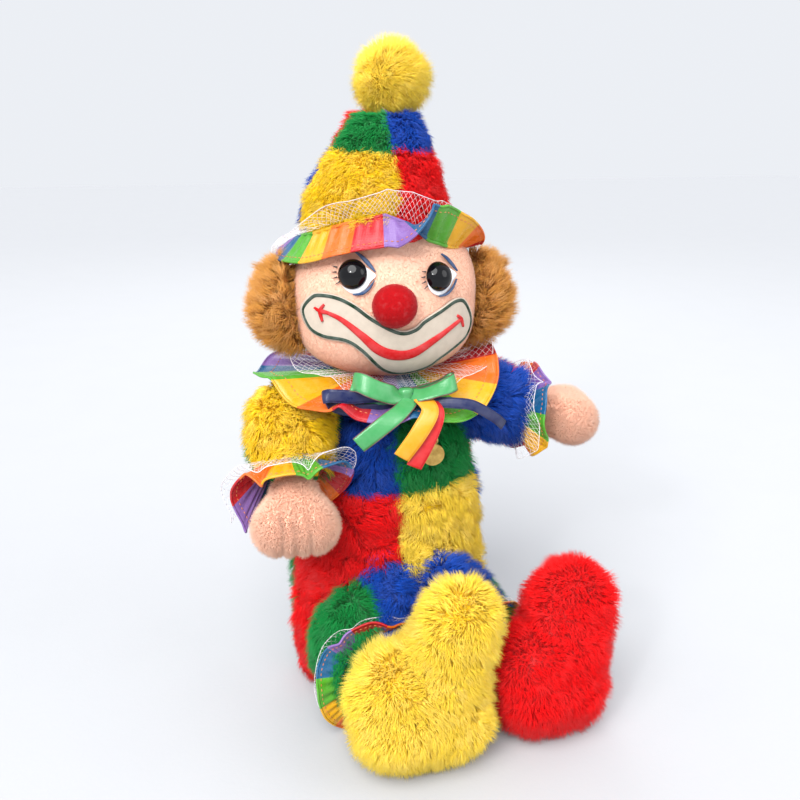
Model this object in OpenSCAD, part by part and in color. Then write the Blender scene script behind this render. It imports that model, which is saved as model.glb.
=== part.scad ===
// Plush clown glove puppet, sitting, facing -Y, seat on Z = 0.
// Every soft piece is a plain closed solid of the size of the stuffed, furred piece.

/* [Torso] */
// Half width of the belly
belly_half_w = 59; // [56:1:61]
// Half depth of the belly
belly_half_d = 42; // [40:1:43]
// Height where the chest patches meet the belly patches
tier_z = 135; // [130:1:140]

/* [Head] */
// Half width of the head, cheek to cheek
head_half_w = 55; // [53:1:56]
// Half height of the head
head_half_h = 51; // [50:0.5:52]
// Thickness of the plush skin
skin = 3; // [2.5:0.5:3.5]
// Radius of the domed eyes
eye_r = 9; // [8:0.5:9.5]
// Radius of the flocked nose
nose_r = 12.5; // [11:0.5:13]

/* [Hat] */
// Thickness of the fur patches of the hat
hat_wall = 8; // [7:0.5:9]
// Height where the two tiers of the hat meet
hat_tier_z = 329; // [325:1:332]
// Radius of the pompom
pompom_r = 20; // [18:0.5:21]

/* [Arms] */
// Radius of the sleeve at the shoulder
sleeve_r = 20; // [19:0.5:20.5]
// Distance from shoulder to wrist
arm_len = 46; // [45:0.5:47]

/* [Legs] */
// Radius of the leg at the hip
leg_r = 27.5; // [26:0.5:28]
// Distance from hip to ankle
leg_len = 44; // [43:0.5:45]

/* [Hidden] */

gap = 0.3;               // clearance between separate pieces
joint_gap = 0.8;         // clearance between a ball end and its socket
big = 400;               // larger than the whole puppet
fine = 36;               // facets of the hulled soft forms

// The torso leans a little to the puppet's left and back as it sits.
lean_x = 0.055;
lean_y = 0.058;
function torso_axis(z) = [lean_x * z, lean_y * z];

// Torso levels: height, half width, half depth.
torso_levels = [
  [0, 48, 34],
  [26, belly_half_w - 1, belly_half_d - 1],
  [80, belly_half_w, belly_half_d],
  [125, belly_half_w - 3, belly_half_d - 4],
  [158, belly_half_w - 14, belly_half_d - 9],
  [180, 37, 27],
  [190, 22, 19]
];
seat_t = 7;              // thickness of the seat panel
// Hand cavity levels: height, centre X, centre Y, half width, half depth.
cavity_levels = [
  [seat_t, 3, 18, 43, 15.5],
  [62, 4, 16, 48, 21],
  [80, 4.4, 7, 49, 32],
  [125, 7, 8, 49.5, 34],
  [160, 9, 9.5, 36, 25],
  [176, 9.7, 10, 17, 16]
];
opening_x = [-32, 38];
opening_z = [13, 66];

neck_pivot = [8, 10, 196];
collar_r = 20;
tube_r = 12;
finger_r = 9.6;
channel_r = 17;

head_centre = [4, 6, 252];
head_half_d = 48;
hat_levels = [
  [282, 1, 9, 46, 43],
  [305, -1, 10, 42.5, 41],
  [329, 5, 12, 34, 32],
  [346, 8, 14, 24, 23]
];
pompom_centre = [9, 14, 368.5];

hip_right = [-22, -28, 33];
hip_left = [37, -25, 33];
leg_yaw_right = 19;
leg_yaw_left = 33;
leg_rise = 2;
hang_right = [-0.22, -0.05, -0.97];
hang_left = [0.25, -0.05, -0.967];
ankle_r = 22;

shoulder_right = [-54, 1, 180];
shoulder_left = [57, 9, 180];
arm_yaw_right = -3;
arm_drop_right = -42;
arm_yaw_left = 85;
arm_drop_left = -12;
bead_r = 14;
wrist_ball_r = 13;

// ---- shared forms -------------------------------------------------------

module slice(p, a, b) {
  translate(p) linear_extrude(0.01) scale([a, b]) circle(1, $fn = fine);
}

module torso_form(inset = 0) {
  hull() for (l = torso_levels)
    slice([torso_axis(l[0])[0], torso_axis(l[0])[1], l[0]], l[1] - inset, l[2] - inset);
}

module cavity_form(inset = 0) {
  hull() for (l = cavity_levels)
    slice([l[1], l[2], l[0] + inset * (l[0] < 20 ? 1 : 0)], l[3] - inset, l[4] - inset);
}

// Ellipsoid by rings; grow moves its skin outwards.
module head_form(grow = 0) {
  translate(head_centre) hull() for (t = [-80, -60, -40, -20, 0, 20, 40, 60, 80])
    slice([0, 0, (head_half_h + grow) * sin(t)],
      (head_half_w + grow) * cos(t), (head_half_d + grow) * cos(t));
}

module hat_form(inset = 0) {
  hull() for (l = hat_levels)
    slice([l[1], l[2], l[0] - (l[0] > 340 ? inset / 2 : 0)], l[3] - inset, l[4] - inset);
}

// Puts a part made along +Z from the joint at the limb's own place.
module limb(pivot, yaw, rise) {
  translate(pivot) rotate([90 - rise, 0, yaw]) children();
}

module arm_right() { limb(shoulder_right, arm_yaw_right, arm_drop_right) children(); }
module arm_left() { limb(shoulder_left, arm_yaw_left, arm_drop_left) children(); }
module leg_right() { limb(hip_right, leg_yaw_right, leg_rise) children(); }
module leg_left() { limb(hip_left, leg_yaw_left, leg_rise) children(); }

// Half spaces and quarters, from a corner point.
module quarter(corner, sx, sy, low, high) {
  x0 = sx < 0 ? corner[0] - big : corner[0] + gap / 2;
  y0 = sy < 0 ? corner[1] - big : corner[1] + gap / 2;
  translate([x0, y0, low]) cube([big - gap / 2, big - gap / 2, high - low]);
}

// ---- torso --------------------------------------------------------------

// Room for a leg from lying forward to hanging.
module leg_room(hip, yaw, hang) {
  r = leg_r + joint_gap;
  translate(hip) sphere(r, $fn = 48);
  for (rise = [leg_rise, leg_rise + 9])
    limb(hip, yaw, rise) cylinder(r = r + 1.5, h = 60, $fn = 48);
  tilt = asin(hang[0]);
  translate(hip) rotate([180, -tilt, 0]) cylinder(r = r + 1.5, h = 60, $fn = 48);
  translate(hip - [r, 60, 60]) cube([2 * r, 60, 60]);
}

// Room for a sleeve, as it rests and lowered.
module arm_room(shoulder, yaw, rise, lowered) {
  translate(shoulder) sphere(sleeve_r + joint_gap, $fn = 48);
  for (drop = [0, lowered])
    limb(shoulder, yaw, rise - drop) cylinder(r = sleeve_r + 2.4, h = 50, $fn = 48);
}

module opening_cut(grow = 0) {
  w = opening_x[1] - opening_x[0] + 2 * grow;
  h = opening_z[1] - opening_z[0] + 2 * grow;
  r = 12 + grow;
  translate([(opening_x[0] + opening_x[1]) / 2, 26, (opening_z[0] + opening_z[1]) / 2])
    rotate([-90, 0, 0]) linear_extrude(40) union() {
      square([w - 2 * r, h], center = true);
      square([w, h - 2 * r], center = true);
      for (sx = [-1, 1], sz = [-1, 1])
        translate([sx * (w / 2 - r), sz * (h / 2 - r)]) circle(r, $fn = 32);
    }
}

module torso_patch(sx, sy, low, high) {
  difference() {
    intersection() {
      torso_form();
      quarter([lean_x * 100, lean_y * 100 - 2, 0], sx, sy, low, high);
    }
    cavity_form();
    leg_room(hip_right, leg_yaw_right, hang_right);
    leg_room(hip_left, leg_yaw_left, hang_left);
    arm_room(shoulder_right, arm_yaw_right, arm_drop_right, 3);
    arm_room(shoulder_left, arm_yaw_left, arm_drop_left, 28);
    translate(neck_pivot) sphere(collar_r + joint_gap, $fn = 48);
    translate([neck_pivot[0], neck_pivot[1], 150])
      cylinder(r = channel_r, h = 60, $fn = 48);
    opening_cut(3.2);
  }
}

chest_top = 192;
belly_low = 44;
module chest_patch_blue() { color("#0a4fae") torso_patch(-1, -1, tier_z + gap, chest_top); }
module chest_patch_green() { color("#0b7a3a") torso_patch(1, -1, tier_z + gap, chest_top); }
module belly_patch_red() { color("#e3141a") torso_patch(-1, -1, belly_low, tier_z); }
module belly_patch_yellow() { color("#f4c81f") torso_patch(1, -1, belly_low, tier_z); }
module back_patch_yellow() { color("#f4c81f") torso_patch(-1, 1, tier_z + gap, chest_top); }
module back_patch_red() { color("#e3141a") torso_patch(1, 1, tier_z + gap, chest_top); }
module back_patch_green() { color("#0b7a3a") torso_patch(-1, 1, seat_t + gap, tier_z); }
module back_patch_blue() { color("#0a4fae") torso_patch(1, 1, seat_t + gap, tier_z); }

module seat_panel() {
  color("#0a4fae") difference() {
    linear_extrude(seat_t) polygon([for (t = [0:10:350]) [47 * cos(t), 3 + 34 * sin(t)]]);
    leg_room(hip_right, leg_yaw_right, hang_right);
    leg_room(hip_left, leg_yaw_left, hang_left);
  }
}

lining_t = 1.2;
module hand_lining() {
  color("#f2efe6") difference() {
    cavity_form(gap);
    cavity_form(gap + lining_t);
    leg_room(hip_right, leg_yaw_right, hang_right);
    leg_room(hip_left, leg_yaw_left, hang_left);
    translate([neck_pivot[0], neck_pivot[1], 150])
      cylinder(r = channel_r, h = 60, $fn = 48);
    opening_cut(3.2);
  }
}

module wrist_binding() {
  color("#0a4fae") difference() {
    intersection() {
      torso_form(-1);
      opening_cut(2.9);
    }
    torso_form(4);
    opening_cut(0);
    translate([-big / 2, -big, -1]) cube([big, big + 26, big]);
  }
}

// ---- neck trim ----------------------------------------------------------

// A flared ring round the neck: base level, rise and outer radius.
module neck_ring(base, rise, outer) {
  inner = collar_r + joint_gap + 1.4;
  translate([neck_pivot[0], neck_pivot[1], base]) rotate_extrude($fn = 72)
    polygon([[inner, 0], [outer, rise], [outer, rise + 1.6], [inner, 1.6]]);
}
module sleeve_room() {
  for (p = [shoulder_right, shoulder_left])
    translate(p) sphere(sleeve_r + 3.2, $fn = 48);
}
ruffle_z = 191.5;
ruffle_rise = 3;
ruffle_out = 44;
tulle_step = 2.4;
module neck_ruffle() {
  color("#29a6d8") difference() {
    neck_ring(ruffle_z, ruffle_rise, ruffle_out);
    torso_form(-gap);
    sleeve_room();
  }
}
module neck_tulle() {
  color("#f3eef0") difference() {
    neck_ring(ruffle_z + tulle_step, ruffle_rise, ruffle_out);
    sleeve_room();
  }
}

bow_at = [9, -47, 193];
ribbon_w = 8;
ribbon_t = 0.8;
// A flat ribbon from one point to another in a plane facing -Y.
module ribbon(from, to, layer) {
  run = to - from;
  long = norm(run);
  turn = atan2(run[0], -run[1]);
  y = bow_at[1] + layer * (ribbon_t + 0.4);
  translate([from[0], y, from[1]]) rotate([0, -turn, 0])
    translate([-ribbon_w / 2, 0, -long]) cube([ribbon_w, ribbon_t, long]);
}
// A ribbon loop seen from the front.
module loop(length, turn, width) {
  translate([bow_at[0], bow_at[1] - 1.8, bow_at[2]]) rotate([0, turn, 0])
    translate([4.4 + length / 2, 0, 0]) rotate([90, 0, 0]) linear_extrude(3, center = true)
      difference() {
        scale([length / 2, width / 2]) circle(1, $fn = 32);
        scale([length / 2 - 1.2, width / 2 - 1.2]) circle(1, $fn = 32);
      }
}
module green_bow() {
  color("#2f9e5b") {
    translate(bow_at + [0, -1.8, 0]) rotate([90, 0, 0]) cylinder(r = 4, h = 4, center = true, $fn = 32);
    loop(24, 193, 10);
    loop(24, -8, 10);
    ribbon([7.5, 188.6], [-17, 164], 0);
  }
}
module navy_ribbon() {
  color("#16244e") {
    translate([0, 3.4, 0]) loop(25, 172, 7);
    ribbon([13, 188.6], [36, 178], 0);
  }
}
module gold_ribbon() { color("#f2b632") ribbon([9, 188.6], [2, 158], -4); }
module red_ribbon() { color("#e3141a") ribbon([12, 188.6], [12, 152], 1.5); }

medal_at = [23, -42.4, 165];
medal_r = 6.5;
module medallion() {
  color("#c9a24a") {
    translate(medal_at) rotate([90, 0, 0]) cylinder(r = medal_r, h = 1.2, $fn = 48);
    translate(medal_at + [0, -0.6, medal_r + 2]) rotate([90, 0, 0])
      rotate_extrude($fn = 32) translate([2.4, 0]) circle(0.5, $fn = 16);
  }
}

// ---- neck and head ------------------------------------------------------

collar_low = -11;
collar_high = 8;
module neck_collar() {
  color("#f2cdb0") translate(neck_pivot) intersection() {
    difference() {
      sphere(collar_r, $fn = 64);
      translate([0, 0, -30]) cylinder(r = tube_r + joint_gap, h = 60, $fn = 48);
    }
    translate([-30, -30, collar_low]) cube([60, 60, collar_high - collar_low]);
  }
}

tube_low = -14;
tube_high = 15;
module neck_tube() {
  color("#cbb48d") translate(neck_pivot + [0, 0, tube_low]) difference() {
    cylinder(r = tube_r, h = tube_high - tube_low, $fn = 48);
    translate([0, 0, -1]) cylinder(r = finger_r, h = tube_high - tube_low + 2, $fn = 48);
  }
}

module neck_room() { translate(neck_pivot) sphere(collar_r + joint_gap + 0.4, $fn = 48); }

module head_shell(front) {
  difference() {
    head_form();
    head_form(-skin);
    neck_room();
    seam_y = head_centre[1] + 4;
    translate([-big / 2, front ? seam_y - gap / 2 : seam_y - big + gap / 2, 0])
      cube([big, big, big]);
  }
}
module face_panel() { color("#f6d5b8") head_shell(true); }
module head_back_panel() { color("#f6d5b8") head_shell(false); }

pocket_top = 245;
module head_stuffing() {
  color("#fbfbf7") difference() {
    head_form(-skin - gap);
    neck_room();
    translate([neck_pivot[0], neck_pivot[1], 190])
      cylinder(r = finger_r + 0.4, h = pocket_top - 190, $fn = 48);
  }
}

// Places a piece made along +Z on the face, at offsets x and z from its centre.
function face_y(x, z) =
  -head_half_d * sqrt(1 - pow(x / head_half_w, 2) - pow(z / head_half_h, 2));
function face_normal(x, z) =
  let (n = [x / pow(head_half_w, 2), face_y(x, z) / pow(head_half_d, 2),
    z / pow(head_half_h, 2)]) n / norm(n);
module set_on_face(x, z, out) {
  n = face_normal(x, z);
  limb(head_centre + [x, face_y(x, z), z] + out * n, atan2(n[0], -n[1]), asin(n[2])) children();
}
// A ball of radius r whose middle is raised above its flat back.
module domed(r, raised) {
  rotate_extrude($fn = 64) intersection() {
    translate([0, raised]) circle(r, $fn = 64);
    square([big, big]);
  }
}
nose_place = [-3, 0];
nose_out = 2.2;
module nose() { color("#b01317") set_on_face(nose_place[0], nose_place[1], nose_out) domed(nose_r, 1); }
eye_right_place = [-23.5, 15.5];
eye_left_place = [22, 13];
eye_out = 1.9;
eye_curve = 1.3;         // how much larger the dome's own radius is than its rim
module eye(place) {
  r = eye_r + eye_curve;
  color("#0d0d0f") set_on_face(place[0], place[1], eye_out) domed(r, -sqrt(r * r - eye_r * eye_r));
}
module eye_right() { eye(eye_right_place); }
module eye_left() { eye(eye_left_place); }

// The mouth, seen from in front, in millimetres from the middle of the face.
mouth_in = 0.3;
mouth_out = 1.7;
mouth_edge = [
  [-49, -6], [-44, 3], [-38, 5], [-30, 4], [-22, 0], [-13, -7], [0, -14], [8, -13],
  [13, -9], [23, -4], [32, 0], [38, -1], [45, -14], [42, -24], [31, -30], [23, -35],
  [14, -39], [-3, -41], [-11, -37], [-22, -25], [-28, -21], [-39, -20], [-46, -16]
];
module mouth_outline() { polygon(mouth_edge); }
// The smile: its middle line, each point with the half height of the band there.
smile_line = [
  [-39, -4, 1], [-30, -8, 1.6], [-20, -16, 2.2], [-11, -24, 2.8], [-2, -27.5, 3],
  [8, -27, 2.6], [19, -21, 2.2], [30, -15, 1.6], [36, -12, 1]
];
module smile_outline() {
  for (i = [1:len(smile_line) - 1])
    let (a = smile_line[i - 1], b = smile_line[i])
      polygon([[a[0] - 0.01, a[1] + a[2]], [b[0], b[1] + b[2]],
        [b[0], b[1] - b[2]], [a[0] - 0.01, a[1] - a[2]]]);
}
module on_face(low, high) {
  difference() {
    intersection() {
      head_form(high);
      translate([head_centre[0], head_centre[1] - 12, head_centre[2]]) rotate([90, 0, 0])
        linear_extrude(60) children();
    }
    head_form(low);
  }
}
module mouth_felt() {
  color("#e9dfc9") difference() {
    on_face(mouth_in, mouth_out - gap) mouth_outline();
    neck_room();
  }
}
module smile_felt() { color("#c8141b") on_face(mouth_out, mouth_out + 1.2) smile_outline(); }

hair_at = [62, 4, -12];
module hair(side) {
  color("#b9793a") difference() {
    translate(head_centre + [side * hair_at[0] - side * 10, hair_at[1], hair_at[2]]) hull() {
      translate([side * 4, 0, 14]) sphere(16, $fn = 28);
      translate([side * 6, 0, 0]) sphere(18, $fn = 28);
      translate([side * 3, 0, -7]) sphere(15, $fn = 28);
    }
    head_form(gap);
  }
}
module hair_right() { hair(-1); }
module hair_left() { hair(1); }

// ---- hat ----------------------------------------------------------------

module hat_patch(sx, sy, low, high) {
  difference() {
    intersection() {
      hat_form();
      quarter([6, 12, 0], sx, sy, low, high);
    }
    hat_form(hat_wall);
    head_form(gap);
  }
}
hat_low = 280;
hat_high = 346.5;
module hat_patch_yellow() { color("#f4c81f") hat_patch(-1, -1, hat_low, hat_tier_z); }
module hat_patch_red() { color("#e3141a") hat_patch(1, -1, hat_low, hat_tier_z); }
module hat_patch_lower_blue() { color("#0a4fae") hat_patch(-1, 1, hat_low, hat_tier_z); }
module hat_patch_lower_green() { color("#0b7a3a") hat_patch(1, 1, hat_low, hat_tier_z); }
module hat_patch_green() { color("#0b7a3a") hat_patch(-1, -1, hat_tier_z + gap, hat_high); }
module hat_patch_blue() { color("#0a4fae") hat_patch(1, -1, hat_tier_z + gap, hat_high); }
module hat_patch_upper_red() { color("#e3141a") hat_patch(-1, 1, hat_tier_z + gap, hat_high); }
module hat_patch_upper_yellow() { color("#f4c81f") hat_patch(1, 1, hat_tier_z + gap, hat_high); }
module hat_stuffing() {
  color("#fbfbf7") difference() {
    hat_form(hat_wall + gap);
    head_form(gap);
  }
}

brim_tilt = 7;
// A flared ring under the hat, a little higher in front.
module brim_ring(up) {
  difference() {
    translate([2.5, 8, 281 + up]) rotate([-brim_tilt, 0, 0]) rotate_extrude($fn = 72)
      polygon([[40, 0], [59, -2.5], [59, -0.9], [40, 1.6]]);
    hat_form(-gap);
    head_form(gap);
  }
}
module hat_ruffle() { color("#7f6fc0") brim_ring(0); }
module hat_tulle() { color("#f3eef0") brim_ring(2.4); }

module pompom() { color("#f7cf2d") translate(pompom_centre) sphere(pompom_r, $fn = 64); }

// ---- arms ---------------------------------------------------------------

// A sleeve by its profile; side picks the half on either side of its seam plane.
module sleeve(side) {
  difference() {
    rotate_extrude($fn = 64) difference() {
      union() {
        intersection() {
          circle(sleeve_r, $fn = 64);
          translate([0, -12]) square([big, 40]);
        }
        polygon([[0, 0], [sleeve_r, 0], [sleeve_r + 1, 12], [sleeve_r, 26], [17.5, 37],
          [17, 41], [0, 41]]);
      }
      circle(bead_r + joint_gap, $fn = 64);
      translate([-big, -big]) square([big, 2 * big]);
    }
    translate([0, 0, arm_len]) sphere(wrist_ball_r + joint_gap, $fn = 64);
    translate([-big / 2, side > 0 ? -big : -gap, -big / 2]) cube([big, big, big]);
  }
}
module sleeve_right_yellow() { color("#f4c81f") arm_right() sleeve(1); }
module sleeve_right_green() { color("#0b7a3a") arm_right() sleeve(-1); }
module sleeve_left_blue() { color("#0a4fae") arm_left() rotate([0, 0, 90]) sleeve(1); }
module sleeve_left_red() { color("#e3141a") arm_left() rotate([0, 0, 90]) sleeve(-1); }

module shoulder_ball() { color("#f2efe6") sphere(bead_r, $fn = 64); }
module shoulder_ball_right() { arm_right() shoulder_ball(); }
module shoulder_ball_left() { arm_left() shoulder_ball(); }

module cuff_ruffle() {
  rotate_extrude($fn = 64)
    polygon([[18, 37], [30, 45], [30, 47.4], [18, 40.4]]);
}
module cuff_ruffle_right() { color("#f0a030") arm_right() cuff_ruffle(); }
module cuff_ruffle_left() { color("#f0a030") arm_left() cuff_ruffle(); }

palm_at = 72;
module hand() {
  translate([0, 0, arm_len]) sphere(wrist_ball_r, $fn = 48);
  hull() {
    translate([0, 0, arm_len + 8]) sphere(12, $fn = 28);
    for (side = [-1, 1]) translate([side * 8.5, 0, palm_at]) sphere(16, $fn = 28);
  }
}
module hand_right() { color("#f6d5b8") arm_right() hand(); }
module hand_left() { color("#f6d5b8") arm_left() hand(); }

// ---- legs ---------------------------------------------------------------

// A leg as a ball and tapering tube; side picks a half.
module leg(side) {
  difference() {
    rotate_extrude($fn = 64) difference() {
      union() {
        circle(leg_r, $fn = 64);
        polygon([[0, 0], [leg_r, 0], [leg_r + 1.2, 12], [leg_r + 1.2, 24], [ankle_r + 3, 36],
          [ankle_r, leg_len], [0, leg_len]]);
      }
      translate([-big, -big]) square([big, 2 * big]);
    }
    translate([side > 0 ? -big : -gap, -big / 2, -big / 2]) cube([big, big, big]);
  }
  intersection() {
    translate([0, 0, leg_len]) sphere(ankle_r, $fn = 64);
    translate([side > 0 ? 0 : -big, -big / 2, leg_len + 0.001]) cube([big, big, big]);
  }
}
module leg_right_green() { color("#0b7a3a") leg_right() leg(-1); }
module leg_right_blue() { color("#0a4fae") leg_right() leg(1); }
module leg_left_blue() { color("#0a4fae") leg_left() leg(-1); }
module leg_left_green() { color("#0b7a3a") leg_left() leg(1); }

module ankle_ruffle() {
  rotate_extrude($fn = 64)
    polygon([[leg_r + 0.2, 32], [leg_r + 3, 33], [leg_r + 3, 35], [leg_r - 1, 35]]);
}
module ankle_ruffle_right() { color("#f0a030") leg_right() ankle_ruffle(); }
module ankle_ruffle_left() { color("#f0a030") leg_left() ankle_ruffle(); }

sole_z = 0.6;
// A standing boot: a round heel, a smaller toe lobe above it, and a hollow for the ankle ball.
module foot(ankle, at, yaw, low_w, toe, toe_r) {
  difference() {
    translate(at) rotate([0, 0, yaw]) {
      hull() for (side = [-1, 1]) {
        translate([side * (low_w - 27), 0, 27 + sole_z]) sphere(27, $fn = 28);
        translate([side * (low_w - 25), 2, 44]) sphere(24, $fn = 28);
      }
      hull() {
        translate(toe) sphere(toe_r, $fn = 28);
        translate([toe[0] / 2, 2, 44]) sphere(24, $fn = 28);
      }
    }
    translate(ankle) sphere(ankle_r + joint_gap, $fn = 48);
  }
}
function limb_end(pivot, yaw, rise, len) = pivot
  + len * [sin(yaw) * cos(rise), -cos(yaw) * cos(rise), sin(rise)];
ankle_right = limb_end(hip_right, leg_yaw_right, leg_rise, leg_len);
ankle_left = limb_end(hip_left, leg_yaw_left, leg_rise, leg_len);
foot_right_at = [6, -97, 0];
foot_left_at = [86, -84, 0];
module foot_right() { color("#f7cf2d") foot(ankle_right, foot_right_at, 8, 37, [17, 2, 86], 20.5); }
module foot_left() { color("#e3141a") foot(ankle_left, foot_left_at, 25, 35, [23, 7, 79], 21); }

// ---- output -------------------------------------------------------------

chest_patch_blue();
chest_patch_green();
belly_patch_red();
belly_patch_yellow();
back_patch_yellow();
back_patch_red();
back_patch_green();
back_patch_blue();
seat_panel();
hand_lining();
wrist_binding();
neck_ruffle();
neck_tulle();
green_bow();
navy_ribbon();
gold_ribbon();
red_ribbon();
medallion();
neck_collar();
neck_tube();
face_panel();
head_back_panel();
head_stuffing();
nose();
eye_right();
eye_left();
mouth_felt();
smile_felt();
hair_right();
hair_left();
hat_patch_yellow();
hat_patch_red();
hat_patch_lower_blue();
hat_patch_lower_green();
hat_patch_green();
hat_patch_blue();
hat_patch_upper_red();
hat_patch_upper_yellow();
hat_stuffing();
hat_ruffle();
hat_tulle();
pompom();
sleeve_right_yellow();
sleeve_right_green();
sleeve_left_blue();
sleeve_left_red();
shoulder_ball_right();
shoulder_ball_left();
cuff_ruffle_right();
cuff_ruffle_left();
hand_right();
hand_left();
leg_right_green();
leg_right_blue();
leg_left_blue();
leg_left_green();
ankle_ruffle_right();
ankle_ruffle_left();
foot_right();
foot_left();
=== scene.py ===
"""A plush clown hand puppet: fur patches over padded skins, felt face, satin and net ruffles, ribbon bow."""

import math

import bmesh
import bpy
import numpy as np
from mathutils import Matrix, Vector, geometry, kdtree


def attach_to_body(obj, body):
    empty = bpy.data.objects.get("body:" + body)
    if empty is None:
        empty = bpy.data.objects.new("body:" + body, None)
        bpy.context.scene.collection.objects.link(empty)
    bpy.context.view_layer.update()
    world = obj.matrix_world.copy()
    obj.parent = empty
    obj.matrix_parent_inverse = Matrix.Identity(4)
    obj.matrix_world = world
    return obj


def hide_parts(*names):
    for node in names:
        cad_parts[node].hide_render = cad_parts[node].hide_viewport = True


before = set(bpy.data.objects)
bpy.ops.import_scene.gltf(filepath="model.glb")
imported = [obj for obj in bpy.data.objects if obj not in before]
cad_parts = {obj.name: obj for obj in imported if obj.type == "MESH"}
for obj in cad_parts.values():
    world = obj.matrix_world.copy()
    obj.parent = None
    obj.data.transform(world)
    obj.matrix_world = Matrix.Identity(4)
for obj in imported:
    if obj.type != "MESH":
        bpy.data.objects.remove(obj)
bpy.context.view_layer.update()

MM = 0.001
TAU = 2 * math.pi
FLOOR_CLEAR = 0.4  # mm that fibres stay above the ground

# ---- colours ---------------------------------------------------------------


def linear(r, g, b):
    """Linear colour from 0 to 255 display values."""
    def one(c):
        c = c / 255
        return c / 12.92 if c <= 0.04045 else ((c + 0.055) / 1.055) ** 2.4

    return tuple(one(c) for c in (r, g, b))


RED = linear(244, 6, 12)
YELLOW = linear(255, 214, 24)
PALE_YELLOW = linear(255, 222, 70)
GREEN = linear(6, 140, 62)
BLUE = linear(4, 74, 182)
GINGER = linear(208, 146, 66)
PEACH = linear(244, 196, 170)
FELT_BEIGE = linear(192, 179, 163)
STITCH_GREEN = linear(18, 50, 32)
SMILE_RED = linear(196, 8, 14)
NOSE_RED = linear(162, 6, 14)
SATINS = [
    linear(178, 10, 24),
    linear(214, 98, 8),
    linear(214, 158, 12),
    linear(74, 154, 32),
    linear(2, 84, 128),
    linear(124, 90, 158),
]
BOW_GREEN = linear(58, 146, 80)
NAVY = linear(4, 20, 72)
RIBBON_GOLD = linear(224, 150, 10)
RIBBON_RED = linear(200, 10, 18)
TULLE_WHITE = linear(242, 236, 240)
LINING_WHITE = linear(238, 232, 220)


def mixed(c, other, share):
    """A colour c with a share of the other one."""
    return tuple(a * (1 - share) + b * share for a, b in zip(c, other))


# ---- materials ---------------------------------------------------------------


def material(name, colour, rough=0.6, sheen=0.0, sheen_rough=0.4, metal=0.0, specular=0.4, sheen_tint=None):
    """A Principled material; its sheen is tinted halfway to white unless told otherwise."""
    m = bpy.data.materials.new(name)
    m.use_nodes = True
    p = m.node_tree.nodes["Principled BSDF"]
    for key, value in (
        ("Base Color", (*colour, 1)),
        ("Roughness", rough),
        ("Sheen Weight", sheen),
        ("Sheen Roughness", sheen_rough),
        ("Sheen Tint", (*(sheen_tint or mixed(colour, (1, 1, 1), 0.5)), 1)),
        ("Metallic", metal),
        ("Specular IOR Level", specular),
    ):
        p.inputs[key].default_value = value
    m.diffuse_color = (*colour, 1)
    return m


def nodes_of(m):
    nt = m.node_tree
    return nt, nt.nodes["Principled BSDF"]


def coords(nt, scale=(1, 1, 1)):
    """Object coordinates, stretched by scale."""
    at = nt.nodes.new("ShaderNodeTexCoord")
    mapping = nt.nodes.new("ShaderNodeMapping")
    mapping.inputs["Scale"].default_value = scale
    nt.links.new(at.outputs["Object"], mapping.inputs["Vector"])
    return mapping.outputs["Vector"]


def noise(nt, vector, size_mm, detail=3.0, rough=0.55):
    n = nt.nodes.new("ShaderNodeTexNoise")
    n.inputs["Scale"].default_value = 1 / (size_mm * MM)
    n.inputs["Detail"].default_value = detail
    n.inputs["Roughness"].default_value = rough
    nt.links.new(vector, n.inputs["Vector"])
    return n.outputs["Fac"]


def ramp(nt, fac, stops):
    """stops: (position, colour) pairs."""
    r = nt.nodes.new("ShaderNodeValToRGB")
    while len(r.color_ramp.elements) < len(stops):
        r.color_ramp.elements.new(0.5)
    for e, (at, colour) in zip(r.color_ramp.elements, stops):
        e.position = at
        e.color = (*colour, 1)
    nt.links.new(fac, r.inputs["Fac"])
    return r.outputs["Color"]


def value_range(nt, fac, low, high):
    r = nt.nodes.new("ShaderNodeMapRange")
    r.inputs["To Min"].default_value = low
    r.inputs["To Max"].default_value = high
    nt.links.new(fac, r.inputs["Value"])
    return r.outputs["Result"]


def bump(nt, p, height, strength, distance_mm):
    b = nt.nodes.new("ShaderNodeBump")
    b.inputs["Strength"].default_value = strength
    b.inputs["Distance"].default_value = distance_mm * MM
    nt.links.new(height, b.inputs["Height"])
    nt.links.new(b.outputs["Normal"], p.inputs["Normal"])


def cloth(name, colour, mottle_mm=9.0, spread=0.22, grain_mm=0.7, grain=0.5, rough=0.75, **more):
    """Fabric: soft mottling in colour, and a fine grain in roughness and height."""
    m = material(name, colour, rough, **more)
    nt, p = nodes_of(m)
    at = coords(nt)
    tone = noise(nt, at, mottle_mm)
    dark, light = mixed(colour, (0, 0, 0), spread), mixed(colour, (1, 1, 1), spread * 0.6)
    stops = [(0.25, dark), (0.55, colour), (0.85, light)]
    nt.links.new(ramp(nt, tone, stops), p.inputs["Base Color"])
    fine = noise(nt, at, grain_mm, 2.0)
    nt.links.new(value_range(nt, fine, rough - 0.1, rough + 0.12), p.inputs["Roughness"])
    bump(nt, p, fine, grain, grain_mm * 0.5)
    return m


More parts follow.
